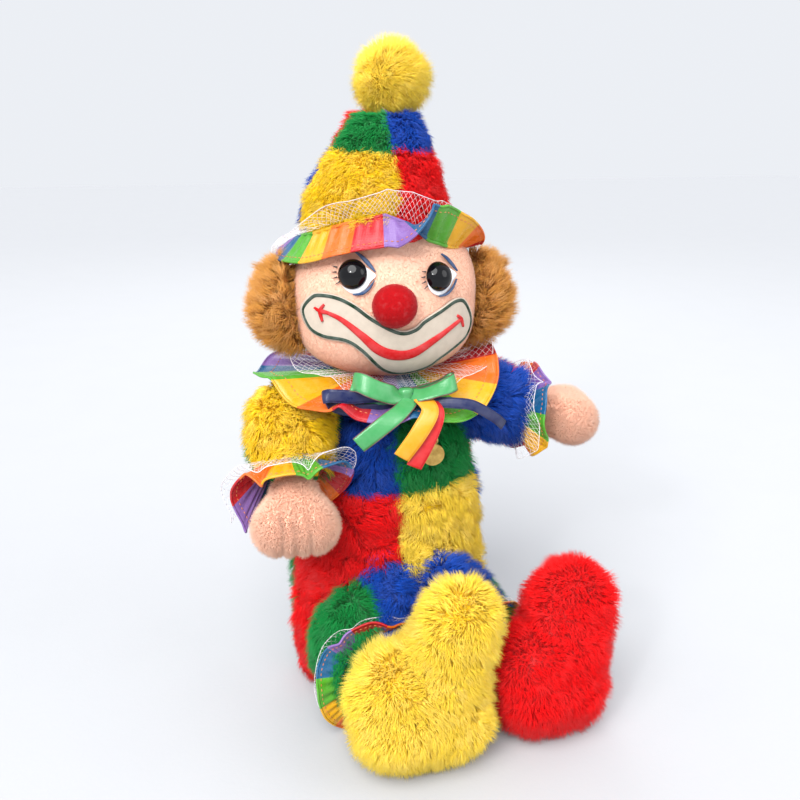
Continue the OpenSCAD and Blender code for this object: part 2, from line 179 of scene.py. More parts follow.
def woven(name, colour, thread_mm=0.45, rough=0.42, grain=0.35, spread=0.12, **more):
    """Satin or cotton: crossing threads in height, slight changes of tone."""
    m = material(name, colour, rough, **more)
    nt, p = nodes_of(m)
    at = coords(nt)
    waves = []
    for direction in ("X", "Z"):
        w = nt.nodes.new("ShaderNodeTexWave")
        w.bands_direction = direction
        w.inputs["Scale"].default_value = 0.5 / (thread_mm * MM) / math.pi
        w.inputs["Distortion"].default_value = 1.5
        w.inputs["Detail"].default_value = 1.0
        nt.links.new(at, w.inputs["Vector"])
        waves.append(w.outputs["Fac"])
    add = nt.nodes.new("ShaderNodeMath")
    add.operation = "ADD"
    nt.links.new(waves[0], add.inputs[0])
    nt.links.new(waves[1], add.inputs[1])
    tone = noise(nt, at, 6.0)
    stops = [(0.3, mixed(colour, (0, 0, 0), spread)), (0.7, mixed(colour, (1, 1, 1), spread * 0.7))]
    nt.links.new(ramp(nt, tone, stops), p.inputs["Base Color"])
    nt.links.new(value_range(nt, tone, rough - 0.08, rough + 0.1), p.inputs["Roughness"])
    bump(nt, p, add.outputs["Value"], grain, thread_mm * 0.4)
    return m


SHADES = 5


def shades(name, colour, dark=0.5, light=0.3, sheen=0.5):
    """Fibre tints in steps from root to tip: the darker steps hold painted shade, the lighter ones painted
    light; random tone also picks among them.
    """
    found = []
    for k in range(SHADES):
        t = k / (SHADES - 1)
        # deep is the colour darkened as painted shade at the root; the upper steps mix in white as painted
        # light at the tip.
        deep = tuple(c * dark for c in colour)
        c = mixed(mixed(deep, colour, min(1, t * 2)), (1, 1, 1), max(0, t - 0.5) * light * 0.35)
        glow = mixed(colour, (1, 1, 1), 0.12)
        found.append(material(f"{name}_fibre_{k}", c, 0.62, sheen, 0.5, specular=0.15, sheen_tint=glow))
    return found


# ---- meshes ------------------------------------------------------------------


def add_object(name, data):
    """A new object in the scene."""
    ob = bpy.data.objects.new(name, data)
    bpy.context.scene.collection.objects.link(ob)
    return ob


def attach(ob, body, slot, *nodes):
    """Ties a piece to its body and hides the CAD nodes it stands for; slot is not used."""
    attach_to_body(ob, body)
    if nodes:
        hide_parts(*nodes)
    return ob


def build(name, verts, faces, mats, index=None, smooth=True):
    """A mesh object from points in mm; each array in faces holds faces with the same number of sides."""
    faces = [np.asarray(f, np.int64) for f in faces if len(f)]
    counts = np.concatenate([np.full(len(f), f.shape[1]) for f in faces])
    flat = np.concatenate([f.ravel() for f in faces]).astype(np.int32)
    me = bpy.data.meshes.new(name)
    me.vertices.add(len(verts))
    me.vertices.foreach_set("co", (np.asarray(verts, float) * MM).astype(np.float32).ravel())
    me.loops.add(len(flat))
    me.polygons.add(len(counts))
    starts = np.concatenate([[0], np.cumsum(counts)[:-1]]).astype(np.int32)
    me.polygons.foreach_set("loop_start", starts)
    me.polygons.foreach_set("vertices", flat)
    for m in mats:
        me.materials.append(m)
    if index is not None:
        me.polygons.foreach_set("material_index", np.asarray(index, np.int32))
    me.polygons.foreach_set("use_smooth", np.full(len(counts), smooth))
    me.update(calc_edges=True)
    me.validate()
    return add_object(name, me)


def arrays(ob):
    """Points in mm, triangles and point normals of a mesh object."""
    me = ob.data
    v = np.zeros(len(me.vertices) * 3)
    me.vertices.foreach_get("co", v)
    n = np.zeros(len(me.vertices) * 3)
    me.vertices.foreach_get("normal", n)
    me.calc_loop_triangles()
    t = np.zeros(len(me.loop_triangles) * 3, np.int32)
    me.loop_triangles.foreach_get("vertices", t)
    return v.reshape(-1, 3) / MM, t.reshape(-1, 3), n.reshape(-1, 3)


def set_points(ob, verts):
    """Moves a mesh's points to verts, in mm."""
    ob.data.vertices.foreach_set("co", (np.asarray(verts) * MM).astype(np.float32).ravel())
    ob.data.update()


def bake_modifiers(ob):
    """Replaces the mesh with the modified one."""
    graph = bpy.context.evaluated_depsgraph_get()
    me = bpy.data.meshes.new_from_object(ob.evaluated_get(graph), depsgraph=graph)
    ob.modifiers.clear()
    ob.data = me
    return ob


def unit(v):
    """Vectors scaled to length one."""
    return v / np.maximum(np.linalg.norm(v, axis=-1, keepdims=True), 1e-9)


def grid_faces(rows, cols, wrap=True):
    """Quads of a grid of points, rows by cols; wrap joins the last column to the first."""
    r = np.arange(rows - 1)[:, None]
    c = np.arange(cols if wrap else cols - 1)[None, :]
    d = (c + 1) % cols
    return np.stack([r * cols + c, r * cols + d, (r + 1) * cols + d, (r + 1) * cols + c], -1).reshape(-1, 4)


def bell(x, wide):
    """One at x = 0, fading to zero over a few times wide."""
    return np.exp(-(x / wide) ** 2)


def nearest(points, at):
    """Index of the closest of points to each place in at."""
    tree = kdtree.KDTree(len(points))
    for i, c in enumerate(points):
        tree.insert(c, i)
    tree.balance()
    return np.array([tree.find(x)[1] for x in at])


def moved(*by):
    """The matrix of a shift in mm."""
    return Matrix.Translation(Vector(by))


def limb(pivot, yaw, rise):
    """A limb's frame: its own z axis leads from the pivot to the limb's end."""
    turn = Matrix.Rotation(math.radians(yaw), 4, "Z")
    return moved(*pivot) @ turn @ Matrix.Rotation(math.radians(90 - rise), 4, "X")


def placed(points, m):
    """Points taken out of a limb's frame m."""
    a = np.array(m)
    return np.asarray(points) @ a[:3, :3].T + a[:3, 3]


def smooth_levels(levels, count, passes=6):
    """Levels resampled evenly along their first value, with softened corners."""
    lv = np.array(levels, float)
    z = np.linspace(lv[0, 0], lv[-1, 0], count)
    out = np.stack([z] + [np.interp(z, lv[:, 0], lv[:, k]) for k in range(1, lv.shape[1])], -1)
    for _ in range(passes):
        out[1:-1, 1:] = (out[:-2, 1:] + 2 * out[1:-1, 1:] + out[2:, 1:]) / 4
    return out


def loft(rows, cols):
    """Points of elliptic rings; rows hold z, centre x, centre y, half width, half depth."""
    a = np.arange(cols) * TAU / cols
    x = rows[:, 1:2] + rows[:, 3:4] * np.cos(a)
    y = rows[:, 2:3] + rows[:, 4:5] * np.sin(a)
    z = np.repeat(rows[:, 0:1], cols, 1)
    return np.stack([x, y, z], -1)


def capped(points, top=True):
    """Verts and faces of a wrapped ring grid, closed by a fan at its bottom and mostly at its top."""
    rows, cols, _ = points.shape
    count, last = rows * cols, (rows - 1) * cols
    c = np.arange(cols)
    after = (c + 1) % cols
    ends = [points[0].mean(0)]
    fans = [np.stack([np.full(cols, count), after, c], -1)]
    if top:
        ends.append(points[-1].mean(0))
        fans.append(np.stack([np.full(cols, count + 1), last + c, last + after], -1))
    return np.vstack([points.reshape(-1, 3), ends]), [grid_faces(rows, cols), np.concatenate(fans)]


def ripple(p, size, seed):
    """Smooth pseudo-random field from -1 to 1 over points in mm."""
    r = np.random.default_rng(seed)
    total = np.zeros(len(p))
    for _ in range(5):
        k = r.normal(size=3)
        k = k / np.linalg.norm(k) * TAU / size * r.uniform(0.7, 1.5)
        total += np.sin(p @ k + r.uniform(0, TAU))
    return total / 3


def puff(ob, pinned, cap, frames=16, pressure=4.0):
    """Cloth under pressure, held where pinned is true; no point moves more than cap mm."""
    v, _, _ = arrays(ob)
    group = ob.vertex_groups.new(name="held")
    group.add([int(i) for i in np.nonzero(pinned(v))[0]], 1.0, "REPLACE")
    mod = ob.modifiers.new("cloth", "CLOTH")
    s = mod.settings
    s.use_pressure = True
    s.uniform_pressure_force = pressure
    s.tension_stiffness = 12
    s.compression_stiffness = 12
    s.mass = 0.2
    s.vertex_group_mass = "held"
    s.effector_weights.gravity = 0
    mod.collision_settings.use_collision = False
    scene = bpy.context.scene
    mod.point_cache.frame_start = 1
    mod.point_cache.frame_end = frames
    for f in range(1, frames + 1):
        scene.frame_set(f)
    graph = bpy.context.evaluated_depsgraph_get()
    me = bpy.data.meshes.new_from_object(ob.evaluated_get(graph), depsgraph=graph)
    w = np.zeros(len(me.vertices) * 3)
    me.vertices.foreach_get("co", w)
    bpy.data.meshes.remove(me)
    ob.modifiers.clear()
    ob.vertex_groups.clear()
    scene.frame_set(1)
    step = w.reshape(-1, 3) / MM - v
    far = np.linalg.norm(step, axis=1, keepdims=True)
    set_points(ob, v + step * np.minimum(1, cap / np.maximum(far, 1e-9)))
    return ob


# ---- fibres ------------------------------------------------------------------


def roots(skin, density, rng, keep=None):
    """Random points on a skin, density per square mm, with normals."""
    v, t, n = arrays(skin)
    a, b, c = v[t[:, 0]], v[t[:, 1]], v[t[:, 2]]
    area = np.linalg.norm(np.cross(b - a, c - a), axis=1) / 2
    count = int(area.sum() * density)
    pick = np.searchsorted(np.cumsum(area), rng.uniform(0, area.sum(), count)).clip(0, len(t) - 1)
    u, w = rng.uniform(size=(2, count))
    flip = u + w > 1
    u[flip], w[flip] = 1 - u[flip], 1 - w[flip]
    k = np.stack([1 - u - w, u, w], -1)[:, :, None]
    p = (v[t[pick]] * k).sum(1)
    q = unit((n[t[pick]] * k).sum(1))
    if keep is not None:
        held = keep(p)
        p, q = p[held], q[held]
    return p, q


def bend(*stops):
    """A value that changes with the angle in degrees from straight ahead (-Y), rising towards +X."""
    at = np.array([s[0] for s in stops] + [stops[0][0] + 360], float)
    val = np.array([s[1] for s in stops] + [stops[0][1]], float)

    def f(a):
        deg = (np.degrees(a) + 90 - at[0]) % 360 + at[0]
        return np.interp(deg, at, val)

    return f


NECK_AT = np.array([8, 8, 203])
neck_tilt = bend((-180, 0), (-90, 2), (-60, -4), (-45, -8), (-25, -14), (0, -18), (20, -20), (40, -14),
                 (60, -2), (75, 12), (90, 20), (120, 8))
neck_width = bend((-180, 40), (-90, 60), (-60, 50), (-45, 47), (-25, 44), (0, 42), (20, 43), (40, 46),
                  (60, 44), (75, 42), (90, 42), (120, 44))
UNCOVERED = 1000.0  # a height that presses no fibre down


def ruffle_height(p):
    """Height under the neck ruffle that fibres are pressed down to."""
    d = p - NECK_AT
    a = np.arctan2(d[:, 1], d[:, 0])
    r = np.hypot(d[:, 0], d[:, 1]) - 22
    t = np.radians(neck_tilt(a))
    covered = (r > -3) & (r < neck_width(a) * np.cos(t) + 1) & (d[:, 2] > -50) & (d[:, 2] < 14)
    return np.where(covered, NECK_AT[2] + np.tan(t) * r - 3.0, UNCOVERED)


def fibres(p, n, comb, length, width, lean, clump_mm, rng, gather, wild, density, pressed):
    """Bent tapering three-sided fibres drawn together into locks. Returns their points and tones."""
    count = len(p)
    spread = max(1, int(count / max(1.0, clump_mm * clump_mm * density)))
    centre = rng.choice(count, spread, replace=False)
    own = nearest(p[centre], p)

    def directions(at, normal, turn, tilt):
        flat = comb(at)
        flat = unit(flat - normal * (flat * normal).sum(1, keepdims=True) + 1e-6)
        side = np.cross(normal, flat)
        flat = flat * np.cos(turn)[:, None] + side * np.sin(turn)[:, None]
        return [normal * np.cos(t)[:, None] + flat * np.sin(t)[:, None] for t in (tilt * 0.55, tilt * 1.35)]

    lock_turn = rng.normal(0, 0.5, spread) + 1.1 * ripple(p[centre], 38, 5)
    lock_tilt = lean * rng.uniform(0.75, 1.2, spread)
    lock_long = length * rng.uniform(0.85, 1.2, spread)
    cl, ch = directions(p[centre], n[centre], lock_turn, lock_tilt)
    mid_c = p[centre] + cl * lock_long[:, None] * 0.5
    tip_c = mid_c + ch * lock_long[:, None] * 0.55
    turn = lock_turn[own] + rng.normal(0, wild, count)
    tilt = lock_tilt[own] * rng.uniform(0.75, 1.25, count)
    long = lock_long[own] * rng.uniform(0.7, 1.12, count)
    low, high = directions(p, n, turn, tilt)
    mid = p + low * long[:, None] * 0.5
    tip = mid + high * long[:, None] * 0.55
    pull = gather * rng.uniform(0.55, 1.15, count)[:, None]
    mid = mid * (1 - pull * 0.35) + (mid_c[own] + (p - p[centre][own]) * 0.6) * pull * 0.35
    tip = tip * (1 - pull) + (tip_c[own] + rng.normal(0, 0.5, (count, 3))) * pull
    base = p - n * 0.6
    for part in (mid, tip):
        if pressed:
            part[:, 2] = np.minimum(part[:, 2], ruffle_height(part) - rng.uniform(0, 1.5, count))
        part[:, 2] = np.maximum(part[:, 2], FLOOR_CLEAR + rng.uniform(0, 0.6, count))
    way = unit(tip - base)
    u = unit(np.cross(way, n + 1e-3))
    w = np.cross(way, u)
    phase = rng.uniform(0, TAU, count)
    size = width * rng.uniform(0.7, 1.25, count) / 2
    verts = np.zeros((count, 7, 3))
    for k in range(3):
        a = phase + k * TAU / 3
        ring = (u * np.cos(a)[:, None] + w * np.sin(a)[:, None]) * size[:, None]
        verts[:, k] = base + ring
        verts[:, 3 + k] = mid + ring * 0.85
    verts[:, 6] = tip
    tone = rng.normal(0, 0.6, spread)[own] + rng.normal(0, 0.5, count)
    return verts, tone


def prism_sides(first):
    """Side quads of three-sided prisms, whose six points start at first."""
    return np.concatenate([first + np.array([[k, (k + 1) % 3, 3 + (k + 1) % 3, 3 + k]]) for k in range(3)])


def fibre_mesh(name, verts, tone, mats):
    """One object of closed fibres; tone picks a tint, and the outer half is one step lighter, as painted
    light over the root's painted shade.
    """
    first = np.arange(len(verts))[:, None] * 7
    tips = np.concatenate([first + np.array([[3 + k, 3 + (k + 1) % 3, 6]]) for k in range(3)])
    ends = first + np.array([[2, 1, 0]])
    s = np.clip(np.round(1.6 + tone), 0, SHADES - 2).astype(int)
    # The outer faces take the next, lighter tint: painted light at the tip, painted shade at the root.
    index = np.concatenate([s, s, s, s + 1, s + 1, s + 1, s])
    return build(name, verts.reshape(-1, 3), [prism_sides(first), np.concatenate([tips, ends])], mats, index)


def combed(*way):
    """A comb that lays every fibre the same way."""
    return lambda at: np.tile(way, (len(at), 1))


DOWN = combed(0.0, 0.0, -1.0)


def everywhere(p):
    """A place that holds every point."""
    return np.ones(len(p), bool)


def fur(skin, patches, body, density=1.9, length=11, width=0.42, lean=0.75, clump_mm=6.5, comb=DOWN,
        keep=None, seed=1, gather=0.32, wild=0.5, pressed=False):
    """Grows fibres on a skin; patches: (name, where(points), tints, CAD nodes, slot)."""
    rng = np.random.default_rng(seed)
    p, n = roots(skin, density, rng, keep)
    verts, tone = fibres(p, n, comb, length, width, lean, clump_mm, rng, gather, wild, density, pressed)
    taken = np.zeros(len(p), bool)
    for name, where, tints, cad, slot in patches:
        mine = where(p) & ~taken
        taken |= mine
        attach(fibre_mesh(name, verts[mine], tone[mine], tints), body, slot, *cad)


def pile(name, skin, tints, body, slot, keep, density, length, width, lean, seed, comb=DOWN):
    """Short dense plush pile of closed points with three sides."""
    rng = np.random.default_rng(seed)
    p, n = roots(skin, density, rng, keep)
    flat = comb(p)
    flat = unit(flat - n * (flat * n).sum(1, keepdims=True) + 1e-6)
    side = np.cross(n, flat)
    turn = rng.normal(0, 0.8, len(p))[:, None] + 1.0 * ripple(p, 16, 8)[:, None]
    flat = flat * np.cos(turn) + side * np.sin(turn)
    tilt = lean * rng.uniform(0.4, 1.3, len(p))[:, None]
    tip = p + (n * np.cos(tilt) + flat * np.sin(tilt)) * (length * rng.uniform(0.7, 1.2, len(p)))[:, None]
    u = unit(np.cross(n, flat))
    w = np.cross(n, u)
    verts = np.zeros((len(p), 4, 3))
    for k in range(3):
        a = k * TAU / 3 + turn
        verts[:, k] = p - n * 0.3 + (u * np.cos(a) + w * np.sin(a)) * width / 2
    verts[:, 3] = tip
    first = np.arange(len(p))[:, None] * 4
    tris = np.concatenate([first + np.array([f]) for f in ([0, 1, 3], [1, 2, 3], [2, 0, 3], [2, 1, 0])])
    tone = ripple(p, 9, 12) * 0.6 + rng.normal(0, 0.5, len(p))
    s = np.clip(np.round(2.2 + tone), 0, SHADES - 1).astype(int)
    attach(build(name, verts.reshape(-1, 3), [tris], tints, np.concatenate([s] * 4)), body, slot)


# ---- tints --------------------------------------------------------------------

# Each: name, colour, the root's painted shade (dark, a factor on the colour) and the tip's painted light
# (light, a share of white).
TINTS = {name: shades(name, colour, dark, light) for name, colour, dark, light in (
    ("red", RED, 0.85, 0.1),
    ("yellow", YELLOW, 0.92, 0.5),
    ("pale_yellow", PALE_YELLOW, 0.92, 0.5),
    ("green", GREEN, 0.85, 0.15),
    ("blue", BLUE, 0.8, 0.15),
    ("ginger", GINGER, 0.76, 0.35),
    ("peach", PEACH, 0.98, 0.5),
)}
# Each coloured backing is its fur's colour times deep: painted shade for the depth of the pile that shows
# between the fibres; cloth adds random mottle.
BACKING = {name: cloth(name + "_backing", tuple(c * deep for c in colour)) for name, colour, deep in (
    ("red", RED, 0.9), ("yellow", YELLOW, 0.95), ("green", GREEN, 0.8), ("blue", BLUE, 0.8),
    ("ginger", GINGER, 0.8))}
BACKING["peach"] = cloth("peach_backing", PEACH, 7, 0.1, sheen=0.5)


def patch(name, where, tint, *nodes):
    """A fur patch as fur() takes it; the pale yellow goes in the yellow slot."""
    return name, where, TINTS[tint], nodes, tint.removeprefix("pale_") + "_fur"


def within(seams, sides):
    """Tells which points are on the given sides (right, front, low) of three seam planes."""
    return lambda p: ((p < seams) == sides).all(1)


def chequered(seams, parts):
    """Fur patches between seam planes; parts: (place, colour, tint, right, front, low)."""
    return [patch(f"{place}_{colour}_fur", within(seams, sides), tint, f"{place}_patch_{colour}")
            for place, colour, tint, *sides in parts]


def backing_index(p, seams, parts, order):
    """Which backing of order lies under each point's patch."""
    index = np.zeros(len(p), int)
    for _, _, tint, *sides in parts:
        index[within(seams, sides)(p)] = order.index(tint.removeprefix("pale_"))
    return index


# ---- torso --------------------------------------------------------------------

LEAN = (0.055, 0.058)  # how far the torso's axis moves in x and y for each mm of height
TORSO_SEAMS = (5.5, 3.8, 135)
INSET = 3.0  # from the fur's CAD surface in to the skin that the fibres grow on
BACK_Y = 20  # the opening is in what lies behind this plane
OPENING_X, OPENING_Z, OPENING_R = (-32, 38), (13, 66), 12
rows = smooth_levels([(z, LEAN[0] * z, LEAN[1] * z, a, b) for z, a, b in (
    (0, 48, 34), (26, 58, 41), (80, 59, 42), (125, 56, 38), (158, 45, 33), (180, 37, 27), (190, 22, 19))], 72)
rows[:, 3:] -= INSET
rows[:, 0] = np.interp(rows[:, 0], [0, 12, 180, 190], [3, 13, 178, 186])  # drawn in at both ends


def opening_distance(p):
    """Signed distance in x and z from the rounded wrist opening's edge; inside is negative."""
    cx, cz = sum(OPENING_X) / 2, sum(OPENING_Z) / 2
    dx = np.abs(p[..., 0] - cx) - ((OPENING_X[1] - OPENING_X[0]) / 2 - OPENING_R)
    dz = np.abs(p[..., 2] - cz) - ((OPENING_Z[1] - OPENING_Z[0]) / 2 - OPENING_R)
    outside = np.hypot(np.maximum(dx, 0), np.maximum(dz, 0))
    return outside + np.minimum(np.maximum(dx, dz), 0) - OPENING_R


def seam_groove(p, depth=5.0, wide=6.0):
    """How far in a seam pulls the skin."""
    x, y, z = TORSO_SEAMS
    return depth * bell(np.abs(p - (x + 0.5, y, z)).min(1), wide)


SHOULDERS = [(-54, 1, 180), (57, 9, 180)]
SHOULDER_R = 19  # the torso's skin is cupped round each shoulder ball
verts, faces = capped(loft(rows, 150))
axis = np.stack([LEAN[0] * verts[:, 2], LEAN[1] * verts[:, 2], verts[:, 2]], -1)
outward = unit(verts - axis)
verts = verts - outward * seam_groove(verts)[:, None] + outward * (ripple(verts, 45, 2) * 1.6)[:, None]
for s in SHOULDERS:
    away = verts - np.array(s)
    far = np.linalg.norm(away, axis=1, keepdims=True)
    verts = np.where(far < SHOULDER_R, np.array(s) + away / np.maximum(far, 1e-6) * SHOULDER_R, verts)
hole = (opening_distance(verts) < 2.5) & (verts[:, 1] > BACK_Y)
kept = [f[~hole[f].all(1)] for f in faces]
middles = np.concatenate([verts[f].mean(1) for f in kept])
TORSO_PARTS = (  # place, colour, tint, then whether it is right, in front and low
    ("chest", "blue", "blue", True, True, False),
    ("chest", "green", "green", False, True, False),
    ("belly", "red", "red", True, True, True),
    ("belly", "yellow", "pale_yellow", False, True, True),
    ("back", "yellow", "yellow", True, False, False),
    ("back", "red", "red", False, False, False),
    ("back", "green", "green", True, False, True),
    ("back", "blue", "blue", False, False, True),
)
ORDER = ("red", "yellow", "green", "blue")
torso_skin = build("torso_skin", verts, kept, [BACKING[c] for c in ORDER],
                   backing_index(middles, TORSO_SEAMS, TORSO_PARTS, ORDER))


def torso_held(v):
    """The seams, the opening's edge and both ends keep still."""
    edge = (np.abs(opening_distance(v)) < 6) & (v[:, 1] > BACK_Y)
    return (seam_groove(v, 1.0, 5.0) > 0.4) | edge | (v[:, 2] < 6) | (v[:, 2] > 176)


puff(torso_skin, torso_held, 4.0)
attach(torso_skin, "torso", "red_fur")
SEAT_Z = 5.0
NECK_Z = 184  # no torso fur grows above this
seat = patch("seat_fur", lambda p: p[:, 2] < SEAT_Z, "blue", "seat_panel")
fur(torso_skin, [seat] + chequered(TORSO_SEAMS, TORSO_PARTS), "torso", seed=11, pressed=True,
    keep=lambda p: ~((opening_distance(p) < 3.5) & (p[:, 1] > BACK_Y)) & (p[:, 2] < NECK_Z))

# ---- hat -----------------------------------------------------------------------

HAT_SEAMS = (6, 12, 329)
HAT_INSET = 4
HAT_FUR_Z = 290  # the brim's ruffle covers what lies below
rows = smooth_levels(
    [(282, 1, 9, 46, 43), (305, -1, 10, 40, 39), (329, 4.2, 12, 31, 30.5), (346, 6, 14, 20.5, 21)], 44, 3)
rows[:, 3:] -= HAT_INSET
verts, faces = capped(loft(rows, 110))


def hat_groove(p):
    """How far in a seam pulls the hat's skin."""
    return 2.4 * bell(np.abs(p - HAT_SEAMS).min(1), 4.0)


outward = unit((verts - (5, 12, 0)) * (1, 1, 0))
verts = verts - outward * hat_groove(verts)[:, None] + outward * ripple(verts, 36, 4)[:, None]
HAT_PARTS = (  # place, colour, tint, then whether it is right, in front and low
    ("hat", "yellow", "yellow", True, True, True),
    ("hat", "red", "red", False, True, True),
    ("hat", "lower_blue", "blue", True, False, True),
    ("hat", "lower_green", "green", False, False, True),
    ("hat", "green", "green", True, True, False),
    ("hat", "blue", "blue", False, True, False),
    ("hat", "upper_red", "red", True, False, False),
    ("hat", "upper_yellow", "yellow", False, False, False),
)
ORDER = ("yellow", "red", "green", "blue")
middles = np.concatenate([verts[f].mean(1) for f in faces])
hat_skin = build("hat_skin", verts, faces, [BACKING[c] for c in ORDER],
                 backing_index(middles, HAT_SEAMS, HAT_PARTS, ORDER))
puff(hat_skin, lambda v: (hat_groove(v) > 1.2) | (v[:, 2] < 286) | (v[:, 2] > 343), 3.0)
attach(hat_skin, "head", "yellow_fur", "hat_stuffing")
fur(hat_skin, chequered(HAT_SEAMS, HAT_PARTS), "head", length=7.5, lean=0.85, density=2.3, width=0.38,
    clump_mm=6, gather=0.22, keep=lambda p: p[:, 2] > HAT_FUR_Z, seed=12)

# ---- pompom ---------------------------------------------------------------------


def ball(name, centre, radii, mats, lumps=0.0, seed=1, rows=28, cols=40):
    """A lumpy ellipsoid of ring points."""
    t = np.linspace(-math.pi / 2, math.pi / 2, rows)[1:-1]
    none = np.zeros_like(t)
    rings = np.stack([np.sin(t) * radii[2], none, none, np.cos(t) * radii[0], np.cos(t) * radii[1]], -1)
    v, f = capped(loft(rings, cols))
    v[-2, 2], v[-1, 2] = -radii[2], radii[2]
    if lumps:
        v = v * (1 + lumps * ripple(v, radii[0] * 1.2, seed))[:, None]
    return build(name, v + np.array(centre), f, mats)


pompom_skin = ball("pompom_skin", (10, 14, 366.5), (11.5, 11, 11.5), [BACKING["yellow"]], 0.05)
attach(pompom_skin, "pompom", "yellow_fur")
fur(pompom_skin, [patch("pompom_fur", everywhere, "pale_yellow", "pompom")], "pompom", length=12, width=0.36,
    lean=0.6, density=11.0, clump_mm=2.2, seed=13, gather=0.35, wild=1.3, comb=combed(0.3, -0.4, -1.0))

# ---- limbs ----------------------------------------------------------------------

leg_right = limb((-22, -28, 33), 19, 2)
leg_left = limb((37, -25, 33), 33, 2)
arm_right = limb((-54, 1, 180), -3, -42)
arm_left = limb((57, 9, 180), 85, -12)


def turned(name, profile, m, mats, which, seed, rise=0.0, inner=0, lobe=None):
    """A revolved skin from (z, radius) pairs in a limb's frame.

    rise swells its top, most on its inner side; lobe is (centre, reach, push) of one plump place.
    """
    v, f = capped(loft(smooth_levels([(z, 0, 0, r, r) for z, r in profile], 40, 4), 72))
    swell = bell(v[:, 2] - 10, 20) * rise
    inward_side = np.clip(inner * v[:, 0] / 12, 0, 1)
    v[:, 1] *= 1 + swell * (v[:, 1] > 0) * (1 + 0.8 * inward_side)
    v[:, 0] *= 1 + 0.5 * swell * inward_side
    if lobe:
        centre, reach, push = lobe
        near = bell(np.linalg.norm(v - np.array(centre), axis=1), reach)
        v = v + near[:, None] * np.array(push, float)
    v = v + unit(v * [1, 1, 0]) * (ripple(v, 30, seed) * 1.2)[:, None]
    mid = np.concatenate([v[g].mean(1) for g in f])
    return build(name, placed(v, m), f, mats, which(mid))


def local(p, m):
    """Points in a limb's frame m."""
    return placed(p, m.inverted())


def along(m, share=1.0, down=0.0):
    """A comb towards a limb's end, with some of it straight down."""
    return combed(*(np.array(m)[:3, 2] * share + np.array([0, 0, -1.0]) * down))


def fur_limb(name, m, halves, colours, profile, seam, across, free, grown, comb, seed, pressed=False,
             **shape):
    """A stuffed limb sewn of two lengthwise halves.

    seam is the signed distance past the sewn line, which holds the points near zero on axis across;
    free is the range of z that puffs up, and grown the range that has fur.
    """
    def held(v):
        q = local(v, m)
        return (np.abs(q[:, across]) < 2) | (q[:, 2] > free[1]) | (q[:, 2] < free[0])

    def keep(p):
        z = local(p, m)[:, 2]
        return (z > grown[0]) & (z < grown[1])

    a, b = colours
    skin = turned(name + "_skin", profile, m, [BACKING[a], BACKING[b]], lambda q: (seam(q) > 0).astype(int),
                  seed, **shape)
    puff(skin, held, 3.0)
    attach(skin, name, a + "_fur")
    fur(skin, [
        patch(f"{halves}_{a}_fur", lambda p: seam(local(p, m)) < 0, a, f"{halves}_{a}"),
        patch(f"{halves}_{b}_fur", lambda p: seam(local(p, m)) >= 0, b, f"{halves}_{b}"),
    ], name, comb=comb, keep=keep, seed=seed + 1, pressed=pressed)


LEG_PROFILE = [(-20, 8), (-12, 19), (0, 23.5), (14, 25.0), (26, 24.5), (36, 21.5), (46, 17)]
SLEEVE_PROFILE = [(-14, 10), (-8, 16), (0, 19), (14, 20), (27, 19), (37, 16), (42, 14)]
THIGHS = (((18, 34, 18), 20, (9, 11, 0)), ((-6, 36, 16), 20, (0, 7, 0)))  # centre, reach and push of each


def straight(axis):
    """A seam along the middle of a limb, across the given axis."""
    return lambda q: q[:, axis]


def outward_seam(q):
    """The left leg's seam runs up to 14 mm outwards over its top."""
    return q[:, 0] - 14 * np.clip(q[:, 1] / 20, 0, 1)


for k, (name, m, colours, seam) in enumerate((
    ("leg_right", leg_right, ("green", "blue"), straight(0)),
    ("leg_left", leg_left, ("blue", "green"), outward_seam),
)):
    fur_limb(name, m, name, colours, LEG_PROFILE, seam, 0, (-8, 38), (-14, 31), along(m, 0.6, 0.6), 20 + k,
             rise=0.85, inner=1 - 2 * k, lobe=THIGHS[k])
for k, (side, m, across, colours) in enumerate((
    ("right", arm_right, 1, ("green", "yellow")),
    ("left", arm_left, 0, ("blue", "red")),
)):
    fur_limb("arm_" + side, m, "sleeve_" + side, colours, SLEEVE_PROFILE, straight(across), across, (-6, 34),
             (-13, 37), along(m, 0.8, 0.35), 30 + k, pressed=True)


def from_cad(name, node, voxel, inset, mats, smooth=6):
    """A soft skin from a CAD node: remeshed, softened and drawn in."""
    v, t, _ = arrays(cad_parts[node])
    ob = build(name, v, [t], mats)
    r = ob.modifiers.new("remesh", "REMESH")
    r.mode = "VOXEL"
    r.voxel_size = voxel * MM
    s = ob.modifiers.new("smooth", "SMOOTH")
    s.factor = 0.6
    s.iterations = smooth
    bake_modifiers(ob)
    v, _, n = arrays(ob)
    set_points(ob, v - n * inset)
    ob.data.polygons.foreach_set("use_smooth", np.full(len(ob.data.polygons), True))
    return ob


